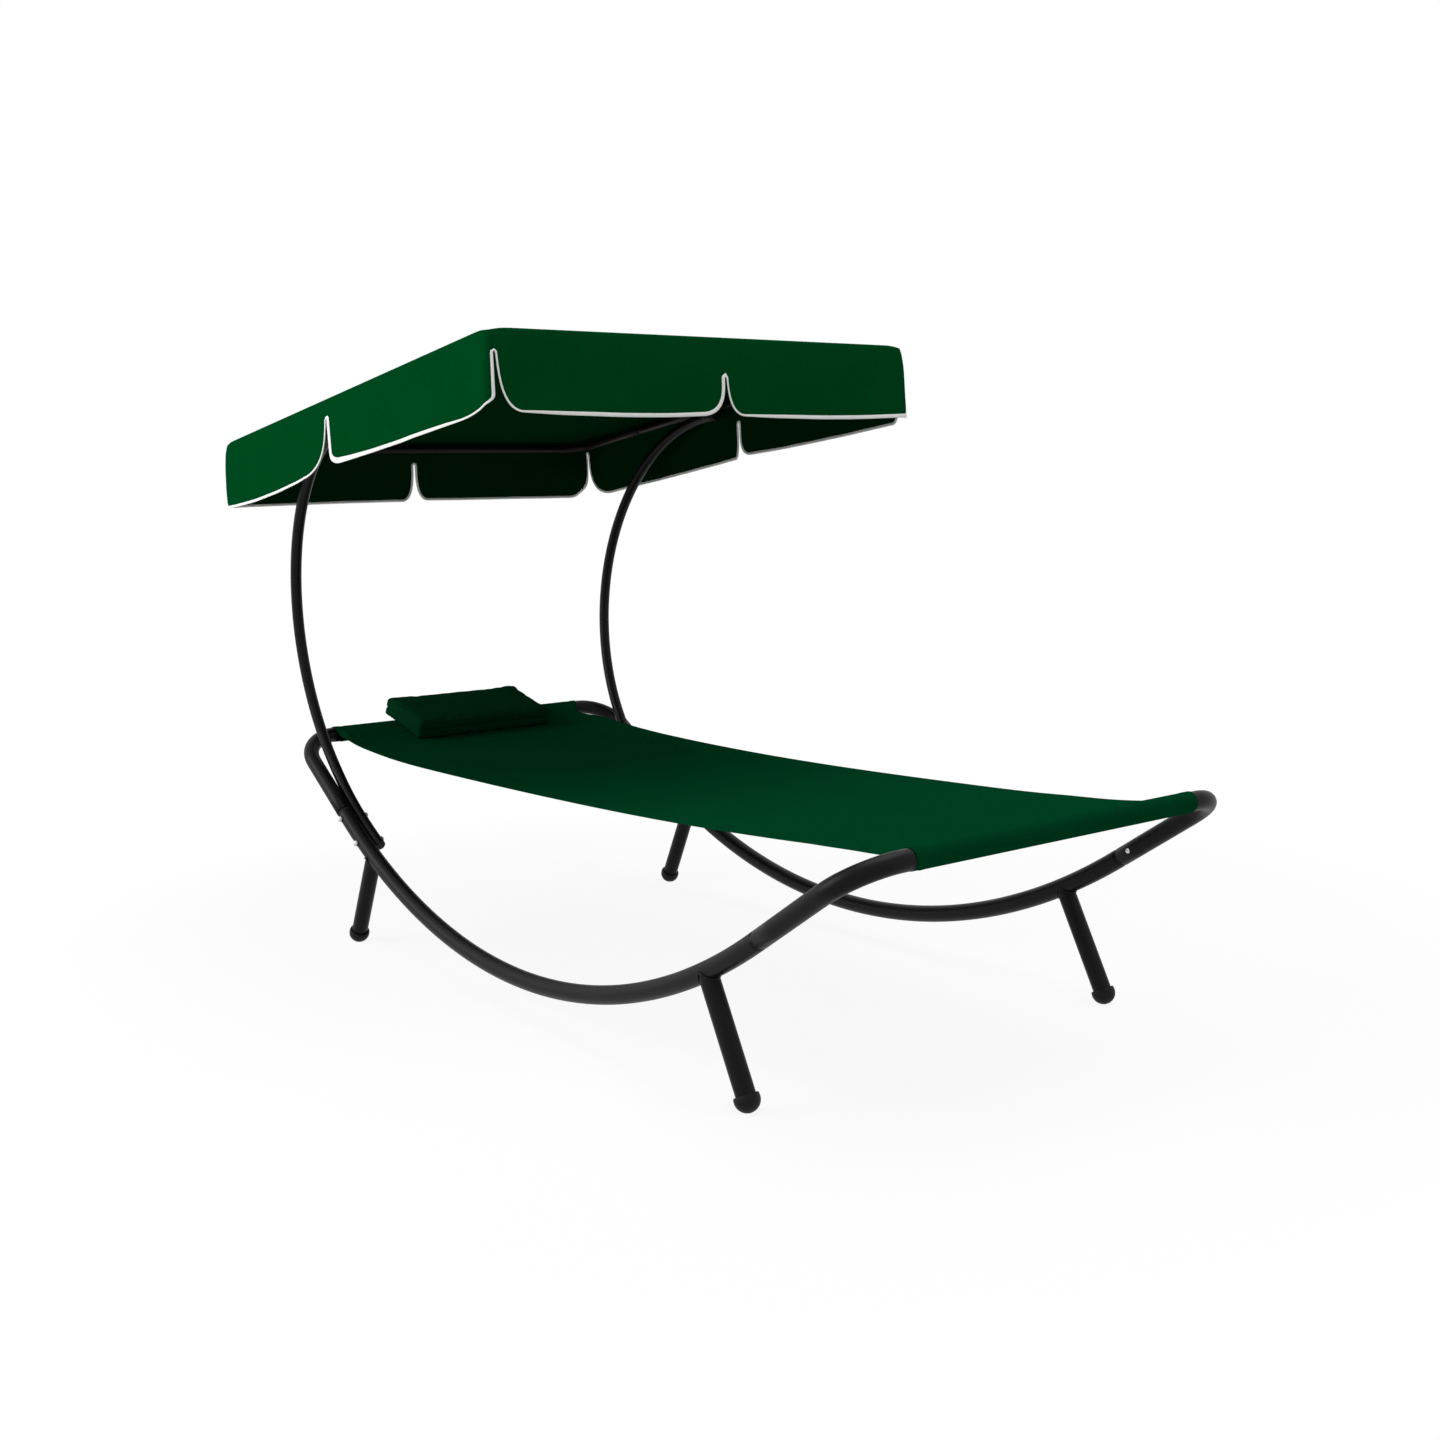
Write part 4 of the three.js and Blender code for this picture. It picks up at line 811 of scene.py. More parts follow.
class LOUNGER_OT_legs(bpy.types.Operator):
    """Builds the splayed legs, their weld beads and their ball-shaped caps"""

    bl_idname = "lounger.legs"
    bl_label = "Legs"

    def execute(self, context):
        settings = context.scene.lounger
        sizes, bed = settings.bed, bed_places(settings.bed)
        paint = powder_coated_steel(PAINT, settings.finish.paint)
        plastic = moulded_polyethylene(PLASTIC, settings.finish.plastic)
        for end, way in ENDS:
            line = self.leg_line(sizes, bed, way)
            leg, bead = self.leg(settings, bed, line)
            cap = aim(self.cap_profile(sizes), line.ball, line.up)
            cap[..., 2] = np.maximum(cap[..., 2], 0)  # worn flat where it stands
            put_pair(
                f"splayed_leg_{end}", leg, paint, "bed", f"leg_{end}", CLOSED_RING
            )
            put_pair(f"weld_bead_{end}", bead, paint, "bed", None, CLOSED_RING)
            put_pair(f"ball_foot_{end}", cap, plastic, "bed", f"foot_cap_{end}")
        return {"FINISHED"}

    def leg_line(self, sizes, bed, way):
        """The middle of a leg's ball on the left side, and the leg's direction from it."""
        height = sizes.ball_radius - sizes.ball_flat
        ball = np.array([bed.middle + way * sizes.leg_foot, sizes.half_width, height])
        slope = math.asin(sizes.leg_top / sizes.arc_radius)
        top = bed.arc_centre - sizes.arc_radius * math.cos(slope)
        up = np.array([bed.middle + way * sizes.leg_top, sizes.half_width, top]) - ball
        return SimpleNamespace(ball=ball, up=unit(up), reach=np.linalg.norm(up))

    def leg(self, settings, bed, line):
        """A straight tube that ends on the side tube, and the weld bead round that end.

        Along each line of the tube, the end is where its distance to the side tube's centre
        line has come down to the side tube's radius, found by halving. The bead's radius goes
        up and down as a sine, one wave for each drop of the weld.
        """
        sizes = settings.bed
        turn = np.linspace(0, 2 * math.pi, 64, endpoint=False)
        side = np.cross(Y_AXIS, line.up)
        spoke = np.cos(turn)[:, None] * side + np.sin(turn)[:, None] * Y_AXIS

        def place(radius, run):
            return line.ball + radius * spoke + np.asarray(run)[..., None] * line.up

        def end_of(radius, clear):
            low, high = np.zeros(len(turn)), np.full(len(turn), line.reach)
            for _ in range(30):
                middle = (low + high) / 2
                at = place(radius, middle)
                drop = np.hypot(at[:, 0] - bed.middle, at[:, 2] - bed.arc_centre) - sizes.arc_radius
                inside = np.hypot(drop, at[:, 1] - sizes.half_width) < sizes.tube_radius + clear
                low, high = np.where(inside, low, middle), np.where(inside, middle, high)
            return low

        outer, bore = sizes.tube_radius, sizes.tube_radius - sizes.tube_wall
        start = np.full(len(turn), sizes.ball_rim + sizes.gap)
        top, under = end_of(outer, sizes.gap), end_of(bore, sizes.gap)
        rows = [place(outer, start + (top - start) * share) for share in np.linspace(0, 1, 12)]
        rows += [place(bore, start + (under - start) * share) for share in np.linspace(1, 0, 4)]
        drops, swell, clear = 32, 0.12, 0.3 * sizes.weld
        path = place(outer + clear, end_of(outer + clear, clear))
        ahead = unit(np.roll(path, -1, 0) - np.roll(path, 1, 0))
        out = unit(np.cross(ahead, line.up))
        thick = sizes.weld * (1 + swell * np.sin(turn * drops))
        return np.stack(rows), rings(path, out, np.cross(ahead, out)[:, None], thick, 10)

    def cap_profile(self, sizes):
        """A ball with a rounded rim, and a plug above it that goes into the leg."""
        radius, rim, soft, plug_length = sizes.ball_radius, sizes.ball_rim, 0.0012, 0.018
        plug = sizes.tube_radius - sizes.tube_wall - sizes.gap
        top = math.asin((rim - soft) / radius)
        edge = radius * math.cos(top)
        ball = [
            (radius * math.cos(t), radius * math.sin(t))
            for t in np.linspace(-math.pi / 2, top, 28)[1:]
        ]
        lip = [
            (edge - soft * (1 - math.cos(t)), rim - soft * (1 - math.sin(t)))
            for t in np.linspace(0.3, math.pi / 2, 5)
        ]
        stem = [(plug, rim), (plug, rim + plug_length), (0, rim + plug_length)]
        return turned([(0, -radius), *ball, *lip, *stem], 48)


class LOUNGER_OT_poles(bpy.types.Operator):
    """Builds the two canopy poles and their end plugs"""

    bl_idname = "lounger.poles"
    bl_label = "Canopy poles"

    def execute(self, context):
        settings = context.scene.lounger
        pole, places = settings.pole, pole_places(settings)
        paint = powder_coated_steel(PAINT, settings.finish.paint)
        plastic = moulded_polyethylene(PLASTIC, settings.finish.plastic)
        route = pole_route(settings, places)
        laid = lay(route, places.clamp_y * Y_AXIS, X_AXIS, Z_AXIS)
        points = pipe(laid, pole.radius, pole.wall, settings.tube_sides)
        tube = self.leaning(pole, places, points)
        put_pair("curved_pole", tube, paint, "bed", "canopy_pole", CLOSED_RING)
        for word, row, way in (("foot", 0, -1), ("top", -1, 1)):
            x, z, heading = route[row]
            along = way * np.array([math.cos(heading), 0, math.sin(heading)])
            plug = aim(self.plug(pole, settings.bed.gap), (x, places.clamp_y, z), along)
            plug = self.leaning(pole, places, plug)
            name = f"pole_{word}_stopper"
            put_pair(name, plug, plastic, "bed", f"pole_{word}_plug")
        return {"FINISHED"}

    def leaning(self, pole, places, points):
        """Points moved outward by the pole's lean at their height."""
        moved = points.copy()
        moved[..., 1] += lean(pole, places, points[..., 2])
        return moved

    def plug(self, pole, gap):
        """A low rounded head over the tube's end, and a stem in its bore."""
        stem, depth = pole.radius - pole.wall - gap, 0.012
        soft, rise, top = 0.0018, 0.003, 0.005
        rim = [(pole.radius - soft + r, z) for r, z in dome(soft, soft, rise, 6)]
        seat = [(0, -depth), (stem, -depth), (stem, gap), (pole.radius - gap, gap)]
        return turned([*seat, *rim, (0, top)], 40)


class LOUNGER_OT_fastenings(bpy.types.Operator):
    """Builds the bolts and cap nuts of poles and pivots, and the screws of the push joints"""

    bl_idname = "lounger.fastenings"
    bl_label = "Fastenings"

    def execute(self, context):
        settings = context.scene.lounger
        zinc = zinc_plated_steel("Zinc-plated steel", settings.finish.zinc)
        self.pole_bolts(settings, zinc)
        self.rail_screws(settings, zinc)
        # The pivots and the canopy frame's screws get the same zinc in a dark colour. This is
        # painted shade for the shade under the canopy.
        dark = zinc_plated_steel("Zinc-plated steel, painted shade", settings.finish.painted_shade_zinc)
        self.pivots(settings, dark)
        self.frame_screws(settings, dark)
        return {"FINISHED"}

    def bolt(self, radius, run, head, rise):
        """A domed head whose seat is at zero, and a shank that runs down from it.

        The head's straight edge is 0.12 of its rise.
        """
        edge = 0.12 * rise
        shank = [(0, -run), (radius, -run), (radius, 0), (head - edge, 0), (head, edge)]
        return turned([*shank, *dome(head, rise - edge, edge)], 32)

    def nut(self, pole):
        """A hexagon with a chamfered top, and a dome on it."""
        corner, tall = pole.nut_corner, pole.nut_hex
        flat = corner * math.cos(math.pi / 6)
        low, high = 0.0005, tall - 0.0006
        hexagon = [(0, 0), (flat, 0), (corner, low), (corner, high), (0.96 * flat, tall)]
        return turned([*hexagon, *dome(0.9 * flat, pole.nut_dome, tall)], 48, corner)

    def pole_bolts(self, settings, zinc):
        """Two bolts through each pole and its side tube, from the inside, with nuts outside."""
        sizes, pole, places = settings.bed, settings.pole, pole_places(settings)
        head_y = places.clamp_y - pole.radius - sizes.gap
        nut_y = sizes.half_width + sizes.tube_radius + sizes.gap
        bolt = self.bolt(pole.bolt_radius, nut_y - head_y, pole.head_radius, pole.head_rise)
        for word, run in (("upper", pole.bolt_upper), ("lower", pole.bolt_lower)):
            at = side_place(sizes, places.bed, run - places.bed.joint)
            points = aim(bolt, (at.x, head_y, at.z), -Y_AXIS)
            put_pair(f"{word}_bolt", points, zinc, "bed", f"pole_bolt_{word}")
            points = aim(self.nut(pole), (at.x, nut_y, at.z), Y_AXIS)
            put_pair(f"{word}_nut", points, zinc, "bed", f"pole_nut_{word}")

    def pivots(self, settings, zinc):
        """A bolt through each bracket and its pole's top, from the outside, with a nut inside."""
        pole, places = settings.pole, pole_places(settings)
        head_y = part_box("canopy_bracket_left")[1].y + settings.bed.gap
        nut_y = places.top_y - pole.radius - settings.bed.gap
        bolt = self.bolt(pole.bolt_radius, head_y - nut_y, pole.head_radius, pole.head_rise)
        points = aim(bolt, (places.pivot_x, head_y, places.pivot_z), Y_AXIS)
        put_pair("pivot_bolt", points, zinc, "canopy", "canopy_pivot_bolt")
        points = aim(self.nut(pole), (places.pivot_x, nut_y, places.pivot_z), -Y_AXIS)
        put_pair("pivot_nut", points, zinc, "canopy", "canopy_pivot_nut")

    def rail_screws(self, settings, zinc):
        """A screw 32 mm beyond each side joint: below at the head end, inside at the foot."""
        sizes, bed = settings.bed, bed_places(settings.bed)
        screw = self.bolt(*RAIL_SCREW)
        for end, way in ENDS:
            at = side_place(sizes, bed, way * (bed.joint + 0.032))
            below = np.array([math.sin(at.slope), 0, -math.cos(at.slope)])
            out = below if way < 0 else -Y_AXIS
            seat = np.array([at.x, sizes.half_width, at.z]) + out * (sizes.tube_radius + sizes.gap)
            points = aim(screw, seat, out)
            name = f"joint_screw_{end}"
            put_pair(name, points, zinc, "bed", f"rail_screw_{end}")

    def frame_screws(self, settings, zinc):
        """A screw in each packed one's place, its seat 2 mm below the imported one's middle."""
        screw = self.bolt(*FRAME_SCREW)
        tilt = settings.canopy.tilt
        down = np.array([math.sin(tilt), 0, -math.cos(tilt)])
        for end, _ in ENDS:
            for side, _ in SIDES:
                name = f"canopy_screw_{end}_{side}"
                low, high = (np.array(v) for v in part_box(name))
                points = aim(screw, (low + high) / 2 + down * 0.002, down)
                piece = put_mesh(f"frame_screw_{end}_{side}", points, zinc, "canopy")
                stand_for(name)


class LOUNGER_OT_canopy_frame(bpy.types.Operator):
    """Builds the canopy frame's tubes, and finishes its brackets and washers"""

    bl_idname = "lounger.canopy_frame"
    bl_label = "Canopy frame"

    def execute(self, context):
        settings = context.scene.lounger
        canopy = settings.canopy
        # The canopy frame's paint is tinted warm. This is a painted reflection of the brownish
        # light under the canopy.
        paint = powder_coated_steel(
            "Powder-coated steel, canopy frame, painted reflection", settings.finish.canopy_paint_reflection_tint
        )
        plastic = moulded_polyethylene(PLASTIC, settings.finish.plastic)
        half_y = canopy.half_width - canopy.tube_inset
        beside = canopy.tube_inset * (1 + math.tan(canopy.tilt)) + settings.bed.gap
        joint = canopy.half_length - beside - canopy.tube_leg
        leg = canopy.tube_leg - canopy.tube_corner
        for end, way in ENDS:
            route = u_route(way * joint, half_y, way, leg, canopy.tube_corner, 14, 8)
            self.tube(settings, paint, f"u_tube_{end}", f"tube_{end}", route, canopy.tube_radius)
        run, radius = self.swaged(canopy, settings.bed.gap, joint)
        for side, sign in SIDES:
            route = np.stack([run, np.full(len(run), sign * half_y), np.zeros(len(run))], 1)
            self.tube(settings, paint, f"side_tube_{side}", f"tube_{side}", route, radius)
            dress(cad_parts[f"canopy_bracket_{side}"], paint)
            dress(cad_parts[f"canopy_pivot_washer_{side}"], plastic)
        return {"FINISHED"}

    def tube(self, settings, paint, name, node_name, route, radius):
        """A tube along a level route of the roof's frame, tilted with the roof."""
        canopy = settings.canopy
        level = (canopy.rise - canopy.tube_inset) * Z_AXIS
        points = pipe(lay(route, level, X_AXIS, Y_AXIS), radius, canopy.tube_wall, 24)
        points = roof_frame(settings, points)
        piece = put_mesh(f"canopy_{name}", points, paint, "canopy", CLOSED_RING)
        stand_for(f"canopy_{node_name}")

    def swaged(self, canopy, gap, joint):
        """Places along a side tube and its radius there, narrow where it is in the end tubes.

        The spigots are 40 mm long, and a smooth step of 5.7 mm leads to them.
        """
        spigot, step = 0.040, 0.0057
        run = np.array([-spigot, -gap, (step - gap) / 2, step, 0.2, 0.4])
        run = np.concatenate([run - joint, (joint - run)[::-1]])
        narrow = canopy.tube_wall + gap
        share = smooth_step((joint - np.abs(run)) / step)
        return run, canopy.tube_radius - narrow * (1 - share)


def outline(canopy, offsets):
    """The roof's outline, run through anticlockwise from the middle of its +X edge.

    Returns the point and outward direction at each distance along it, for a rectangle of the
    roof's size whose corners are quarter circles, and the distances where its nine runs start
    and end: every second run is a corner.
    """
    radius = canopy.corner_radius
    half_x, half_y = canopy.half_length - radius, canopy.half_width + canopy.slack - radius
    arc = radius * math.pi / 2
    lengths = [half_y, arc, 2 * half_x, arc, 2 * half_y, arc, 2 * half_x, arc, half_y]
    starts = np.concatenate([[0], np.cumsum(lengths)])
    headings = np.radians([90, 90, 180, 180, 270, 270, 360, 360, 450])
    signs = [[1, 0], [1, 1], [1, 1], [-1, 1], [-1, 1], [-1, -1], [-1, -1], [1, -1], [1, -1]]
    corners = np.array(signs) * [half_x, half_y]
    offsets = np.asarray(offsets) % starts[-1]
    k = np.clip(np.searchsorted(starts, offsets, side="right") - 1, 0, len(lengths) - 1)
    along = offsets - starts[k]
    bent = k % 2 == 1
    heading = headings[k] + np.where(bent, along / radius, 0)
    out = np.stack([np.sin(heading), -np.cos(heading)], 1)
    ahead = np.stack([np.cos(heading), np.sin(heading)], 1)
    return corners[k] + np.where(bent, 0, along)[:, None] * ahead + radius * out, out, starts


# A slit of the valance, and the panel after it. The slit has its wall, its distance along the
# outline from that wall's middle or corner, its top's depth, and how each of its two edges opens,
# on the side of the panel before and of the panel after: the share that hangs straight, how far
# it slants, and its flare at the hem. The panel has how far its start, middle and end hang below
# the drop, and the width of its tape that shows there, as a share.
Slit = namedtuple("Slit", "wall at top before after hems tapes")
SLITS = (
    Slit("foot wall", 0.021, 0.080, (0, 0, 0.060), (0, 0.005, 0.038),
         hems=(0.0035, 0.007, 0.0015), tapes=(0.5, 1, 1)),
    Slit("left wall start", 0.014, 0.038, (0, 0, 0.014), (0, 0, 0.026),
         hems=(0.009, 0.005, -0.005), tapes=(1, 1, 1)),
    Slit("left wall", -0.056, 0.064, (0.3, 0, 0.045), (0.3, 0, 0.014),
         hems=(-0.002, 0, 0), tapes=(1, 1, 1)),
    Slit("left wall end", -0.019, 0.032, (0, 0, 0.104), (0, 0, 0.058),
         hems=(-0.005, -0.006, -0.007), tapes=(1, 1, 1)),
    Slit("head wall", 0.007, 0.054, (0, 0, 0.034), (0, 0, 0.035),
         hems=(-0.005, -0.004, 0), tapes=(1, 1, 1)),
    Slit("right wall start", 0, 0.038, (0, 0, 0.014), (0, 0, 0.014),
         hems=(0.004, 0.011, 0), tapes=(0.8, 0.8, 0.6)),
    Slit("right wall", -0.048, 0.045, (0, 0.005, 0.118), (0.66, 0.018, 0.052),
         hems=(-0.006, -0.002, -0.002), tapes=(1.5, 0.95, 0.5)),
    Slit("right wall end", 0.009, 0.045, (0.70, 0, 0.103), (0, 0.006, 0.048),
         hems=(0.001, 0.007, 0.004), tapes=(0.5, 1, 1)),
)


def slit_places(canopy):
    """Each slit's distance along the outline, and the outline's length."""
    _, _, starts = outline(canopy, [0.0])
    middles = (starts[:-1] + starts[1:]) / 2
    middles[0] = 0.0
    places = []
    for slit in SLITS:
        run = {"foot": 0, "left": 2, "head": 4, "right": 6}[slit.wall.split()[0]]
        run += slit.wall.endswith("end") - slit.wall.endswith("start")
        places.append(middles[run] + slit.at)
    return places, starts[-1]


def slit_edge(canopy, top, hem, shape, steps=16):
    """How far a slit's edge is from the slit, and its depth, from the slit's top to the hem.

    Below its straight share, the depth grows as sin while the flare grows as (1 - cos) to the
    power 1.4. The slant grows with the depth.
    """
    straight, slant, flare = shape
    turn = np.linspace(0, math.pi / 2, steps)
    share = straight + (1 - straight) * np.sin(turn)
    gap = flare * (1 - np.cos(turn)) ** 1.4
    if straight:
        share = np.concatenate([np.linspace(0, straight, 6)[:-1], share])
        gap = np.concatenate([np.zeros(5), gap])
    return canopy.slit_gap + slant * share + gap, top + (hem - top) * share


def hem_line(canopy, hem_steps=26):
    """Distance along the outline, depth below the roof and share of tape, along the whole hem.

    Between two slits the hem's depth runs as the curve of the second degree through its three
    values. The tape's share goes to its middle value as the sixth power from either end.
    """
    places, total = slit_places(canopy)
    share = np.linspace(0, 1, hem_steps)[1:-1]
    first, middle = (1 - share) * (1 - 2 * share), 4 * share * (1 - share)
    last = share * (2 * share - 1)
    line = []
    for k, slit in enumerate(SLITS):
        following = SLITS[(k + 1) % len(SLITS)]
        at, end = places[k], (places + [places[0] + total])[k + 1]
        hems, tapes = canopy.drop + np.array(slit.hems), slit.tapes
        gap, depth = slit_edge(canopy, slit.top, hems[0], slit.after)
        end_gap, end_depth = slit_edge(canopy, following.top, hems[2], following.before)
        start, stop = at + gap[-1], end - end_gap[-1]
        low = hems[0] * first + hems[1] * middle + hems[2] * last
        tape = tapes[1] + (tapes[0] - tapes[1]) * (1 - share) ** 6
        tape += (tapes[2] - tapes[1]) * share**6
        rows = [
            (at + gap, depth, np.full(len(gap), tapes[0])),
            (start + (stop - start) * share, low, tape),
            ((end - end_gap)[::-1], end_depth[::-1], np.full(len(end_gap), tapes[2])),
            ([end], [following.top - canopy.slit_gap], [tapes[2]]),
        ]
        line += [np.stack(row, 1) for row in rows]
    return np.concatenate(line), total


def tucked(canopy, along):
    """How far each place of the outline is drawn in: a bell round each corner, 22 mm wide."""
    _, _, starts = outline(canopy, [0.0])
    corners, half = (starts[1:8:2] + starts[2:9:2]) / 2, starts[-1] / 2
    apart = np.abs((np.asarray(along)[..., None] - corners + half) % starts[-1] - half)
    return canopy.tuck * bell(apart.min(-1), 0.022)


def stand_out(canopy, along, depth, total):
    """How far the hanging cloth stands out: an even lean, and slow waves that grow with depth.

    The waves are three sines, of 11, 19 and 37 turns round the outline, so they don't seem to
    repeat. The tuck at the corners dies away over the top third.
    """
    turn = 2 * math.pi * along / total
    share = np.clip((depth - canopy.shoulder) / canopy.drop, 0, 1.2)
    waves = 0.5 * np.sin(11 * turn + 0.6) + 0.3 * np.sin(19 * turn + 2.1)
    waves += 0.2 * np.sin(37 * turn + 4.0)
    tuck = tucked(canopy, along) * np.clip(1 - share / 0.35, 0, 1) ** 2
    return canopy.lean * share**0.6 + canopy.ripple * share**2 * waves - tuck


class LOUNGER_OT_canopy_cloth(bpy.types.Operator):
    """Builds the canopy's cloth: roof, shoulders and slit valance in one sheet"""

    bl_idname = "lounger.canopy_cloth"
    bl_label = "Canopy cloth"

    def execute(self, context):
        settings = context.scene.lounger
        canopy = settings.canopy
        rows, unfolded = self.sheet(canopy)
        points = hang(settings, np.stack(rows[::-1]))
        uv = np.stack([np.vstack([row, row[:1]]) for row in unfolded[::-1]])
        cloth = woven_cloth(
            "Woven polyester, canopy green", settings.finish.canopy,
            thread=0.0018, relief=0.0003, rough=0.9,
        )
        # The sheet's inner face gets a darker copy of the cloth. This is painted shade for the
        # shade under the roof, because the real cloth is the same on both sides.
        painted_inside_shade = woven_cloth(
            "Woven polyester, painted shade inside", settings.finish.painted_inside_shade,
            thread=0.0018, relief=0.0002, rough=0.85,
        )
        piece = put_mesh("canopy_sheet", points, cloth, "canopy", uv=uv, closed=False)
        piece.data.materials.append(painted_inside_shade)
        thick = piece.modifiers.new("Cloth", "SOLIDIFY")
        thick.thickness, thick.offset, thick.material_offset = canopy.cloth, 0, 1
        stand_for("canopy_cover")
        return {"FINISHED"}

    def sheet(self, canopy):
        """Rows of the roof, its shoulders and the valance, and where each lies unfolded.

        The roof's rows are the outline shrunk towards the middle, by shares to the power 0.85 so
        that they come closer towards the edge. The shoulder is a quarter circle, and the
        valance's rows share out the depth from there to the hem. The tuck draws
        the shoulder in as sin and down as cos of its turn, and the roof down as its outline's
        share to the power 16.
        """
        line, total = hem_line(canopy)
        along, hem = line[:, 0], line[:, 1]
        inset, shoulder = canopy.cloth / 2, canopy.shoulder
        point, out, _ = outline(canopy, along)
        tuck = tucked(canopy, along)
        rows, unfolded = [], []
        for share in np.linspace(0, 1, 25)[:-1] ** 0.85:
            plan = point * share * (1 - shoulder / canopy.half_width)
            rows.append(np.column_stack([plan, self.sag(canopy, plan) - inset - tuck * share**16]))
            unfolded.append(plan)
        for turn in np.linspace(0, math.pi / 2, 7):
            inward = shoulder - (shoulder - inset - tuck) * math.sin(turn)
            drop = (shoulder - inset - tuck) * math.cos(turn) - shoulder
            rows.append(np.column_stack([point - inward[:, None] * out, drop]))
            unfolded.append(point + out * shoulder * (turn - 1))
        for share in np.linspace(0, 1, 19)[1:]:
            depth = shoulder + share * (hem - shoulder)
            stand = stand_out(canopy, along, depth, total) - inset
            rows.append(np.column_stack([point + stand[:, None] * out, -depth]))
            unfolded.append(point + out * depth[:, None])
        return rows, unfolded

    def sag(self, canopy, plan):
        """Depth of the roof at a place: none over the frame's tubes, most in the middle.

        The tubes' middles lie 22 mm inside the roof's edge. Between them the roof hangs as one
        less the place's share to the power 2.4, lengthwise times crosswise.
        """
        flat = np.array([canopy.half_length, canopy.half_width]) - 0.022
        share = np.clip(np.abs(plan) / flat, 0, 1)
        return -canopy.sag * (1 - share[:, 0] ** 2.4) * (1 - share[:, 1] ** 2.4)


class LOUNGER_OT_canopy_binding(bpy.types.Operator):
    """Builds the white tape along the hem and round every slit"""

    bl_idname = "lounger.canopy_binding"
    bl_label = "Canopy binding"

    def execute(self, context):
        settings = context.scene.lounger
        canopy = settings.canopy
        points, uv = self.folded(canopy)
        tape = binding_tape("Polypropylene tape, white", settings.finish.binding)
        points = hang(settings, points)
        piece = put_mesh("canopy_binding", points, tape, "canopy", CLOSED_RING, uv)
        stand_for("canopy_piping")
        return {"FINISHED"}

    def folded(self, canopy):
        """A flat ring with rounded edges, carried along the hem: the tape folded over it.

        Across the tape the ring goes as cos, and through its thickness as sin, each with its
        size to the power 0.6. Inside the canopy it covers a share of 0.55 of the tape's width,
        and outside the share that the hem's line gives.
        """
        line, total = hem_line(canopy)
        line = evenly(np.vstack([line[-1:] - [total, 0, 0], line]), 2400)[:-1]
        line, share = line[:, :2], line[:, 2:]
        ahead = np.roll(line, -1, 0) - np.roll(line, 1, 0)
        ahead[[0, -1], 0] += total
        ahead = unit(ahead)
        into = np.stack([ahead[:, 1], -ahead[:, 0]], 1)
        turn = np.linspace(0, 2 * math.pi, 14, endpoint=False)
        round_x, round_y = (np.sign(w) * np.abs(w) ** 0.6 for w in (np.cos(turn), np.sin(turn)))
        reach = np.where(np.sin(turn) < -0.01, 0.55, share)
        across = canopy.binding / 2 * reach * (1 - round_x)
        spread = line[:, None] + into[:, None] * across[..., None]
        along, depth = spread[..., 0], spread[..., 1]
        point, out, _ = outline(canopy, along.ravel())
        point, out = (v.reshape(*along.shape, 2) for v in (point, out))
        far = stand_out(canopy, along, depth, total) + canopy.binding_thick / 2 * round_y
        far -= canopy.cloth / 2
        points = np.concatenate([point + far[..., None] * out, -depth[..., None]], -1)
        run = distances(line)
        run = np.append(run, run[-1] + run[1])
        girth = np.linspace(0, 2 * canopy.binding, len(turn) + 1)
        return points, np.stack(np.meshgrid(run, girth, indexing="ij"), -1)


def sling_height(settings, bed, x):
    """Height of the sling's middle at a place between the rails, through given sags.

    Each sag is a share of the deepest, at a share of the way from the middle to a rail.
    """
    sling = settings.sling
    share = (x - bed.middle) / (bed.rail.x - bed.middle)
    knots = [-1, -0.75, -0.5, 0, 0.5, 0.75, 1]
    sags = [0, 0.66, 0.91, 0.99, 0.75, 0.48, 0]
    return bed.rail.z - sling.sag * smooth_curve(share, knots, sags)


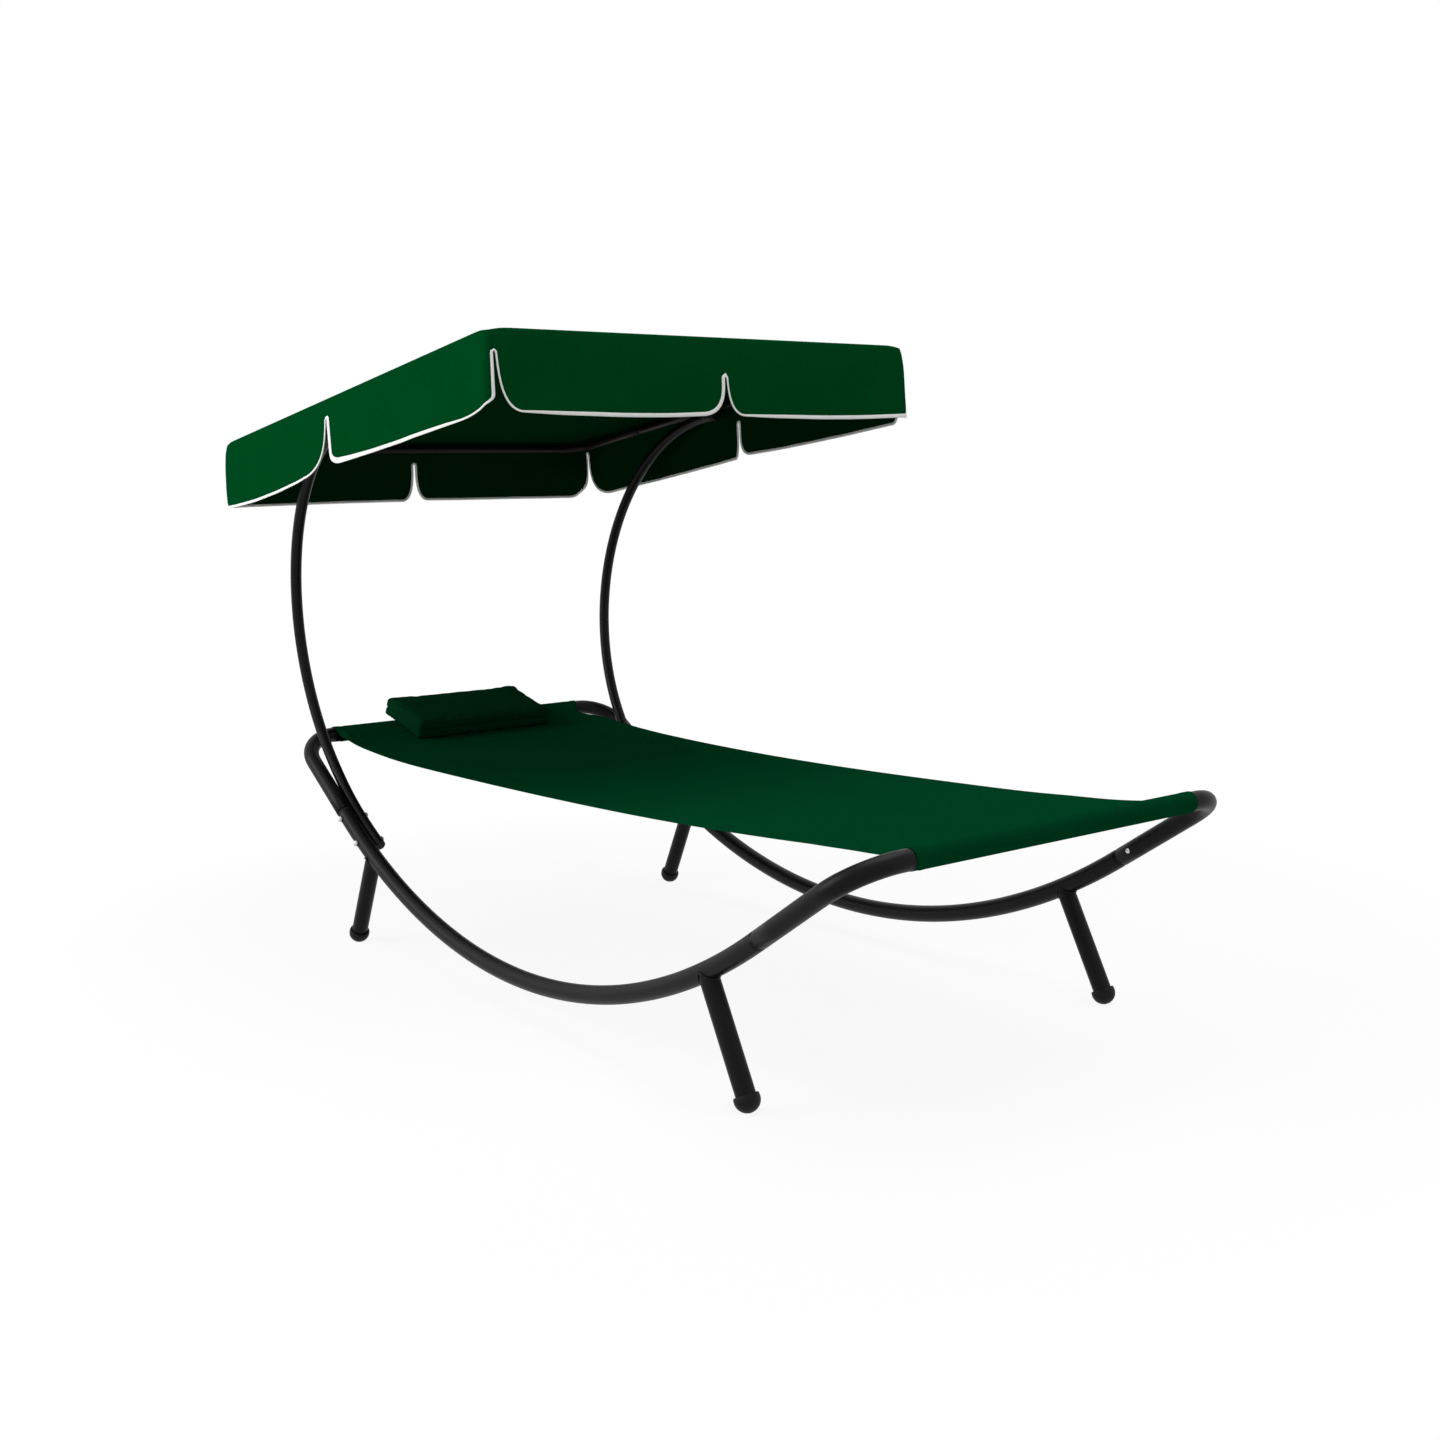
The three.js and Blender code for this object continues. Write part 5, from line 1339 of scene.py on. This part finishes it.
class LOUNGER_OT_sling(bpy.types.Operator):
    """Builds the sling: a sheet with a sewn sleeve round each rail"""

    bl_idname = "lounger.sling"
    bl_label = "Sling"

    def execute(self, context):
        settings = context.scene.lounger
        sling, bed = settings.sling, bed_places(settings.bed)
        line, upper = self.section(settings, bed)
        points, uv = self.sheet(settings, bed, line, upper)
        cloth = woven_cloth(
            "Woven polyester, sling green", settings.finish.sling,
            thread=0.0022, relief=0.0004, rough=0.9,
        )
        piece = put_mesh("sling_sheet", points, cloth, "bed", (False, False), uv, closed=False)
        thick = piece.modifiers.new("Cloth", "SOLIDIFY")
        thick.thickness, thick.offset = sling.cloth, 0
        stand_for("bed_sling")
        return {"FINISHED"}

    def section(self, settings, bed):
        """The sling's line lengthwise, and a share that is 1 on the upper layer between the seams.

        At either end the line starts at the seam, just under the upper layer, and goes round
        the rail as an arc between the two tangents from the seam. The middle's line keeps
        a lead of 62 mm from either end's line.
        """
        sizes, sling = settings.bed, settings.sling
        radius = sizes.tube_radius + sizes.gap + sling.cloth / 2
        lead = 0.062
        ends = []
        for _, way in ENDS:
            rail = np.array([bed.middle + way * (bed.rail.x - bed.middle), bed.rail.z])
            x = rail[0] - way * sling.seam
            seam = np.array([x, sling_height(settings, bed, x)])
            toward = seam - rail
            heading = math.atan2(toward[1], toward[0])
            tangent = math.acos(radius / np.linalg.norm(toward))
            turn = heading - way * np.linspace(tangent, 2 * math.pi - tangent, 60)
            arc = rail + radius * np.stack([np.cos(turn), np.sin(turn)], 1)
            tail = seam + np.array([0, -sling.cloth * 1.2])
            ends.append(np.vstack([arc, tail])[::way])
        x = np.linspace(ends[0][-1][0] + lead, ends[1][0][0] - lead, 160)
        middle = np.stack([x, sling_height(settings, bed, x)], 1)
        upper = np.repeat([0, 1, 0], [len(ends[0]), len(middle), len(ends[1])])
        line = evenly(np.column_stack([np.vstack([ends[0], middle, ends[1]]), upper]), 560)
        return line[:, :2], line[:, 2]

    def sheet(self, settings, bed, line, upper):
        """The sheet across its line: half width times v, with v from -1 to 1.

        The half width goes straight from end to end, less a smooth pinch and a bell near
        either end, deeper on the left. A hem's double layer lifts the edges by a smooth
        step, and stitched lines dip as narrow bells.
        """
        sling, reach = settings.sling, bed.rail.x - bed.middle
        inner = 1 - sling.hem / sling.head_half
        hem = np.linspace(inner, 1, 6)[1:]
        v = np.concatenate([-hem[::-1], np.linspace(-inner, inner, 49), hem])
        share = np.clip((line[:, :1] - bed.middle) / reach, -1, 1)
        half = self.half_width(sling, share, reach, v)
        y = half * v - sling.head_shift * (1 - share) / 2
        from_edge = (1 - np.abs(v)) * half
        run = np.broadcast_to(distances(line)[:, None], y.shape)
        lift = self.relief(sling, bed, line[:, :1], share, v, from_edge)
        closing = (upper * self.closing(settings, bed, line))[:, None]
        lift -= closing * np.clip(1 - from_edge / 0.012, 0, 1) ** 0.7
        x = np.broadcast_to(line[:, :1], y.shape)
        return np.stack([x, y, line[:, 1:] + lift], -1), np.stack([run, y], -1)

    def half_width(self, sling, share, reach, v):
        """Half the sling's width at each place along and across it."""
        even = sling.head_half + (sling.foot_half - sling.head_half) * (share + 1) / 2
        knots = [-1, -0.7, -0.45, 0, 0.5, 0.8, 1]
        pinch = sling.pinch * smooth_curve(share, knots, [0, 0.02, 0.4, 0.8, 1, 1.1, 0])
        head = bell((1 + share) * reach - 0.060, 0.045) * (1 + 0.65 * v)
        foot = bell((1 - share) * reach - 0.130, 0.070) * (1 + v)
        return even - pinch - sling.corner_pinch * (head + 0.4 * foot)

    def relief(self, sling, bed, x, share, v, from_edge):
        """How far the cloth stands up or down: hems, stitches, curl of the edges and folds.

        The hem is half a millimetre thicker, and its stitches and the sleeves' seams dip by
        0.6 and 0.7 mm. The edges stand 4 mm above the middle, by the square of v, and small
        folds run in from them near the rails. Both are nothing at a rail, and whole 0.25 m away.
        """
        reach = bed.rail.x - bed.middle
        clear = np.clip((1 - np.abs(share)) * reach / 0.25, 0, 1)
        lift = 0.0005 * np.clip((sling.hem - from_edge) / 0.003, 0, 1)
        lift = lift - 0.0006 * bell(from_edge - sling.hem, 0.0025)
        for _, way in ENDS:
            lift = lift - 0.0007 * bell(x - bed.middle - way * (reach - sling.seam), 0.004)
        lift = lift + 0.004 * clear * (v**2 - 0.3)
        folds = np.sin(x * 55 + np.abs(v) * 14) * np.exp(-from_edge / 0.06)
        return lift + 0.0008 * folds * np.exp(-10 * (1 - np.abs(share))) * clear

    def closing(self, settings, bed, line):
        """How far the upper layer comes down at its side edges, so that a sleeve ends closed.

        The depth is the sleeve's inside: it goes straight from the tube's thickness over the
        rail to nothing at the seam, and starts beside the tube by a smooth step 8 mm long.
        """
        radius, seam = settings.bed.tube_radius, settings.sling.seam
        near = bed.rail.x - bed.middle - np.abs(line[:, 0] - bed.middle)
        inside = np.clip(2 * radius * (1 - near / seam), 0, None)
        return inside * smooth_step((near - radius) / 0.008)


def applied(piece):
    """Makes a piece's modified shape its own mesh."""
    shaped = piece.evaluated_get(bpy.context.evaluated_depsgraph_get())
    mesh = bpy.data.meshes.new_from_object(shaped)
    piece.modifiers.clear()
    piece.data = mesh


def places_of(mesh):
    """A mesh's points as an array."""
    flat = np.empty(len(mesh.vertices) * 3, np.float32)
    mesh.vertices.foreach_get("co", flat)
    return flat.reshape(-1, 3).astype(float)


def move_to(mesh, points):
    """Puts a mesh's points in new places."""
    mesh.vertices.foreach_set("co", points.astype(np.float32).ravel())


def filled(piece, swell, held):
    """Blows a closed cover up like its filling does, and keeps each point near its start.

    The cover is remeshed to even quads and simulated as cloth under pressure, without weight. A
    point moves at most swell, times the share that held gives for its place.
    """
    quad, pressure, steps = 0.0040, 4.0, 20
    remesh = piece.modifiers.new("Even quads", "REMESH")
    remesh.mode, remesh.voxel_size = "VOXEL", quad
    applied(piece)
    scene = bpy.context.scene
    start = places_of(piece.data)
    cloth = piece.modifiers.new("Filling", "CLOTH").settings
    cloth.use_pressure, cloth.uniform_pressure_force = True, pressure
    cloth.effector_weights.gravity = 0.0
    for step in range(1, steps + 1):
        scene.frame_set(step)
    shaped = piece.evaluated_get(bpy.context.evaluated_depsgraph_get())
    moved = places_of(shaped.data) - start
    far = np.linalg.norm(moved, axis=1, keepdims=True)
    most = swell * held(start)[:, None]
    end = start + moved * np.minimum(1, most / np.maximum(far, 1e-9))
    piece.modifiers.clear()
    scene.frame_set(1)
    move_to(piece.data, end)
    smooth = piece.modifiers.new("Smooth", "SUBSURF")
    smooth.levels = smooth.render_levels = 1
    applied(piece)


def box_map(mesh, points):
    """Gives each corner the two coordinates across its face's main direction, in metres."""
    count = len(mesh.loops)
    corners, sides = np.empty(count, np.int32), np.empty(len(mesh.polygons), np.int32)
    mesh.loops.foreach_get("vertex_index", corners)
    mesh.polygons.foreach_get("loop_total", sides)
    firsts = np.concatenate([[0], np.cumsum(sides)[:-1]])
    a, b, c = (points[corners[firsts + k]] for k in range(3))
    main = np.abs(np.cross(b - a, c - a)).argmax(1)
    pairs = np.array([[1, 2], [0, 2], [0, 1]])[np.repeat(main, sides)]
    uv = np.take_along_axis(points[corners], pairs, 1).astype(np.float32)
    mesh.uv_layers.new(name="Cloth").data.foreach_set("uv", uv.ravel())


class LOUNGER_OT_pillow(bpy.types.Operator):
    """Builds the head pillow, filled and resting on the head rail and the sling"""

    bl_idname = "lounger.pillow"
    bl_label = "Head pillow"

    def execute(self, context):
        settings = context.scene.lounger
        pillow = settings.pillow
        cloth = woven_cloth(
            "Woven polyester, pillow green", settings.finish.pillow,
            thread=0.0022, relief=0.0004, rough=0.9,
        )
        piece = put_mesh("pillow_pad", self.cushion(pillow), cloth, "pillow")
        # The flat bottom lies on something, so it swells by a tenth of what the top may.
        filled(piece, pillow.swell, lambda at: np.clip(at[:, 2] / pillow.height, 0.1, 1))
        points = self.sewn(pillow, places_of(piece.data))
        box_map(piece.data, points)
        move_to(piece.data, self.rested(settings, points))
        piece.data.shade_smooth()
        piece.data.update()
        stand_for("head_pillow")
        return {"FINISHED"}

    def cushion(self, pillow):
        """Rings of a rounded rectangle stacked from the flat bottom to the crowned top.

        A ring is the curve |u|^28 + |v|^28 = 1, stretched to the pillow's size. Between the
        corners the sides draw in as a parabola. The wall's edges are quarter circles, and the
        top rises to its crown as one less the cube of the share left to its edge. A row is its
        inset from the pillow's side and its height.
        """
        turn = 2 * math.pi * (np.arange(128) + 0.5) / 128
        cos, sin = np.cos(turn), np.sin(turn)
        reach = (np.abs(cos) ** 28 + np.abs(sin) ** 28) ** (-1 / 28)
        u, v = cos * reach, sin * reach
        half_x, half_y, edge, high = pillow.length / 2, pillow.width / 2, pillow.edge, pillow.height
        bend = np.linspace(0, math.pi / 2, 6)
        under, over = np.linspace(0, 1, 20)[:-1], np.linspace(1, 0, 24)[1:]
        across, along = edge * (1 - np.sin(bend)), edge * (1 - np.cos(bend))
        rows = np.concatenate([
            np.stack([half_x - (half_x - edge) * under, 0 * under], 1),
            np.stack([across, along], 1),
            np.stack([along, high - across], 1),
            np.stack([half_x - (half_x - edge) * over, high + pillow.crown * (1 - over**3)], 1),
        ])
        inset, level = rows.T[:, :, None]
        scale = 1 - inset / half_x
        x = u * (half_x - pillow.pull * (1 - v**2)) * scale
        spare = (half_y - half_x) * np.minimum(1, 8 * scale)
        y = v * (spare + (half_x - pillow.pull * (1 - u**2)) * scale)
        return np.stack([x, y, np.broadcast_to(level, x.shape)], -1)

    def sewn(self, pillow, points):
        """Draws the sides in along a seam halfway up, and puckers the top along its edges.

        The seam is a bell over the height, 2.6 mm wide. A pucker is a wave along the edge of
        0.9 mm, two sines that together don't seem to repeat. It is strongest 10 mm from the
        edge, and dies away within 20 mm of it and down the side.
        """
        half = np.array([pillow.length / 2, pillow.width / 2])
        made = points.copy()
        away = half - np.abs(points[:, :2])
        side = away.min(1)
        seam = bell(points[:, 2] - 0.5 * pillow.height, 0.0026) * np.clip(1 - side / 0.012, 0, 1)
        outward = np.sign(points[:, :2]) * (away < 0.014)
        made[:, :2] -= outward * pillow.seam * seam[:, None]
        along = np.where(away[:, 0] < away[:, 1], points[:, 1], points[:, 0])
        top = np.clip((points[:, 2] - 0.6 * pillow.height) / (0.4 * pillow.height), 0, 1)
        wave = np.sin(along / 0.0075) * 0.6 + np.sin(along / 0.0187 + 1.3) * 0.4
        made[:, 2] += 0.0009 * wave * bell(side - 0.010, 0.010) * top
        return made

    def rested(self, settings, points):
        """Lays the cushion's flat bottom on the sling in front and over the head sleeve.

        Its slope is the tangent from its front edge to a circle round the rail, which clears
        the sleeve by 1.5 mm. The front edge lies 8 mm beyond that point, 1 mm over the sling.
        """
        sizes, pillow, sling = settings.bed, settings.pillow, settings.sling
        bed = bed_places(sizes)
        over_sling, over_sleeve, beyond = 0.001, 0.0015, 0.008
        rail = np.array([2 * bed.middle - bed.rail.x, bed.rail.z])
        x = rail[0] + pillow.reach
        front = np.array([x, sling_height(settings, bed, x) + sling.cloth / 2 + over_sling])
        back = rail - front
        sleeve = sizes.tube_radius + sling.cloth + over_sleeve
        rise = math.pi - math.atan2(back[1], back[0]) + math.asin(sleeve / np.linalg.norm(back))
        x, z = points[:, 0] - pillow.length / 2 + beyond, points[:, 2]
        return np.stack([
            front[0] + x * math.cos(rise) + z * math.sin(rise),
            points[:, 1] - pillow.offset,
            front[1] - x * math.sin(rise) + z * math.cos(rise),
        ], 1)


# A lamp's name, its place from the bed's middle, the side of its square and its power in watts.
LAMPS = (
    ("key", (-2.4, -4.4, 2.6), 3.0, 165),
    ("top", (0.5, 0.4, 4.6), 3.6, 112),
    ("fill", (4.6, 1.2, 2.2), 2.4, 9),
)

# The photograph's camera: its place from the bed's middle, its yaw, pitch and roll in degrees,
# and its lens and sensor in millimetres.
CAMERA_PLACE = (2.7612, -2.0231, 0.9787)
CAMERA_TURN = (37.1739, -7.5033, -1.4865)
CAMERA_LENS, CAMERA_SENSOR = 41.85, 36.0


class LOUNGER_OT_stage(bpy.types.Operator):
    """Sets the floor, the lights, the background and the camera"""

    bl_idname = "lounger.stage"
    bl_label = "Stage"

    def execute(self, context):
        scene = context.scene
        self.floor(scene)
        self.background(scene)
        middle = bed_places(scene.lounger.bed).middle
        for name, (x, y, z), size, power in LAMPS:
            self.lamp(scene, name, Vector((middle + x, y, z)), size, power)
        x, y, z = CAMERA_PLACE
        self.camera(scene, Vector((middle + x, y, z)))
        scene.view_settings.view_transform = "Standard"
        return {"FINISHED"}

    def floor(self, scene):
        """A square of paper, 18 m wide."""
        half = 9.0
        corners = [(-half, -half, 0), (half, -half, 0), (half, half, 0), (-half, half, 0)]
        floor = bpy.data.meshes.new("floor")
        floor.from_pydata(corners, [], [(0, 1, 2, 3)])
        floor.materials.append(floor_finish("Pale floor", scene.lounger.finish.floor))
        ground = bpy.data.objects.new("floor", floor)
        scene.collection.objects.link(ground)

    def background(self, scene):
        """Even white light of strength 0.42 on the object, and a white backdrop round it.

        The camera, and rays that are reflected or let through, see the backdrop at strength 1.
        """
        world = bpy.data.worlds.new("Soft studio")
        scene.world = world
        world.use_nodes = True
        tree = world.node_tree
        tree.nodes.clear()
        seen = node(tree, "ShaderNodeLightPath").outputs
        either = seen["Is Camera Ray"]
        for other in ("Is Glossy Ray", "Is Transmission Ray"):
            both = node(tree, "ShaderNodeMath", {0: either, 1: seen[other]}, operation="MAXIMUM")
            either = both.outputs[0]
        strength = node(tree, "ShaderNodeMapRange", {"Value": either, 3: 0.42, 4: 1.0})
        sky = node(
            tree, "ShaderNodeBackground", {"Color": (1, 1, 1, 1), "Strength": strength.outputs[0]}
        )
        node(tree, "ShaderNodeOutputWorld", {"Surface": sky.outputs[0]})

    def lamp(self, scene, name, place, size, power):
        """A square soft lamp that points at the middle of the lounger, 0.6 m up."""
        light = bpy.data.lights.new(name, "AREA")
        light.shape, light.size, light.energy = "SQUARE", size, power
        made = bpy.data.objects.new(name, light)
        made.location = place
        aim_at = Vector((place.x * 0.05, 0, 0.6)) - place
        made.rotation_euler = aim_at.to_track_quat("-Z", "Y").to_euler()
        scene.collection.objects.link(made)

    def camera(self, scene, place):
        """A camera that looks along its yaw and pitch, rolled about that direction."""
        data = bpy.data.cameras.new("camera")
        data.lens, data.sensor_width = CAMERA_LENS, CAMERA_SENSOR
        made = bpy.data.objects.new("camera", data)
        yaw, pitch, roll = (math.radians(a) for a in CAMERA_TURN)
        level = math.cos(pitch)
        ahead = Vector((-math.cos(yaw) * level, math.sin(yaw) * level, math.sin(pitch)))
        right = ahead.cross(Vector((0, 0, 1))).normalized()
        up = right.cross(ahead)
        rolled_right = math.cos(roll) * right + math.sin(roll) * up
        rolled_up = -math.sin(roll) * right + math.cos(roll) * up
        turn = Matrix((rolled_right, rolled_up, -ahead)).transposed().to_4x4()
        made.matrix_world = Matrix.Translation(place) @ turn
        scene.collection.objects.link(made)
        scene.camera = made


class LOUNGER_PT_panel(bpy.types.Panel):
    """Lists the lounger's pieces"""

    bl_idname = "LOUNGER_PT_panel"
    bl_label = "Canopy lounger"
    bl_space_type = "VIEW_3D"
    bl_region_type = "UI"
    bl_category = "Lounger"

    def draw(self, context):
        for operator in OPERATORS:
            self.layout.operator(operator.bl_idname)


OPERATORS = (
    LOUNGER_OT_bed_tubes,
    LOUNGER_OT_legs,
    LOUNGER_OT_poles,
    LOUNGER_OT_fastenings,
    LOUNGER_OT_canopy_frame,
    LOUNGER_OT_canopy_cloth,
    LOUNGER_OT_canopy_binding,
    LOUNGER_OT_sling,
    LOUNGER_OT_pillow,
    LOUNGER_OT_stage,
)
GROUPS = (BedSizes, PoleSizes, CanopySizes, SlingSizes, PillowSizes, Finishes, LoungerSettings)


def register():
    """Makes the settings, the operators and the panel known to Blender."""
    for kind in (*GROUPS, *OPERATORS, LOUNGER_PT_panel):
        bpy.utils.register_class(kind)
    bpy.types.Scene.lounger = PointerProperty(type=LoungerSettings)


def unregister():
    """Takes them all away again."""
    del bpy.types.Scene.lounger
    for kind in reversed((*GROUPS, *OPERATORS, LOUNGER_PT_panel)):
        bpy.utils.unregister_class(kind)


def write_sizes():
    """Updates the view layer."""
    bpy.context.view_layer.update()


def main():
    """Builds every piece in order, and then the stage."""
    register()
    for operator in OPERATORS:
        group, name = operator.bl_idname.split(".")
        getattr(getattr(bpy.ops, group), name)()
    write_sizes()


if __name__ == "__main__":
    main()
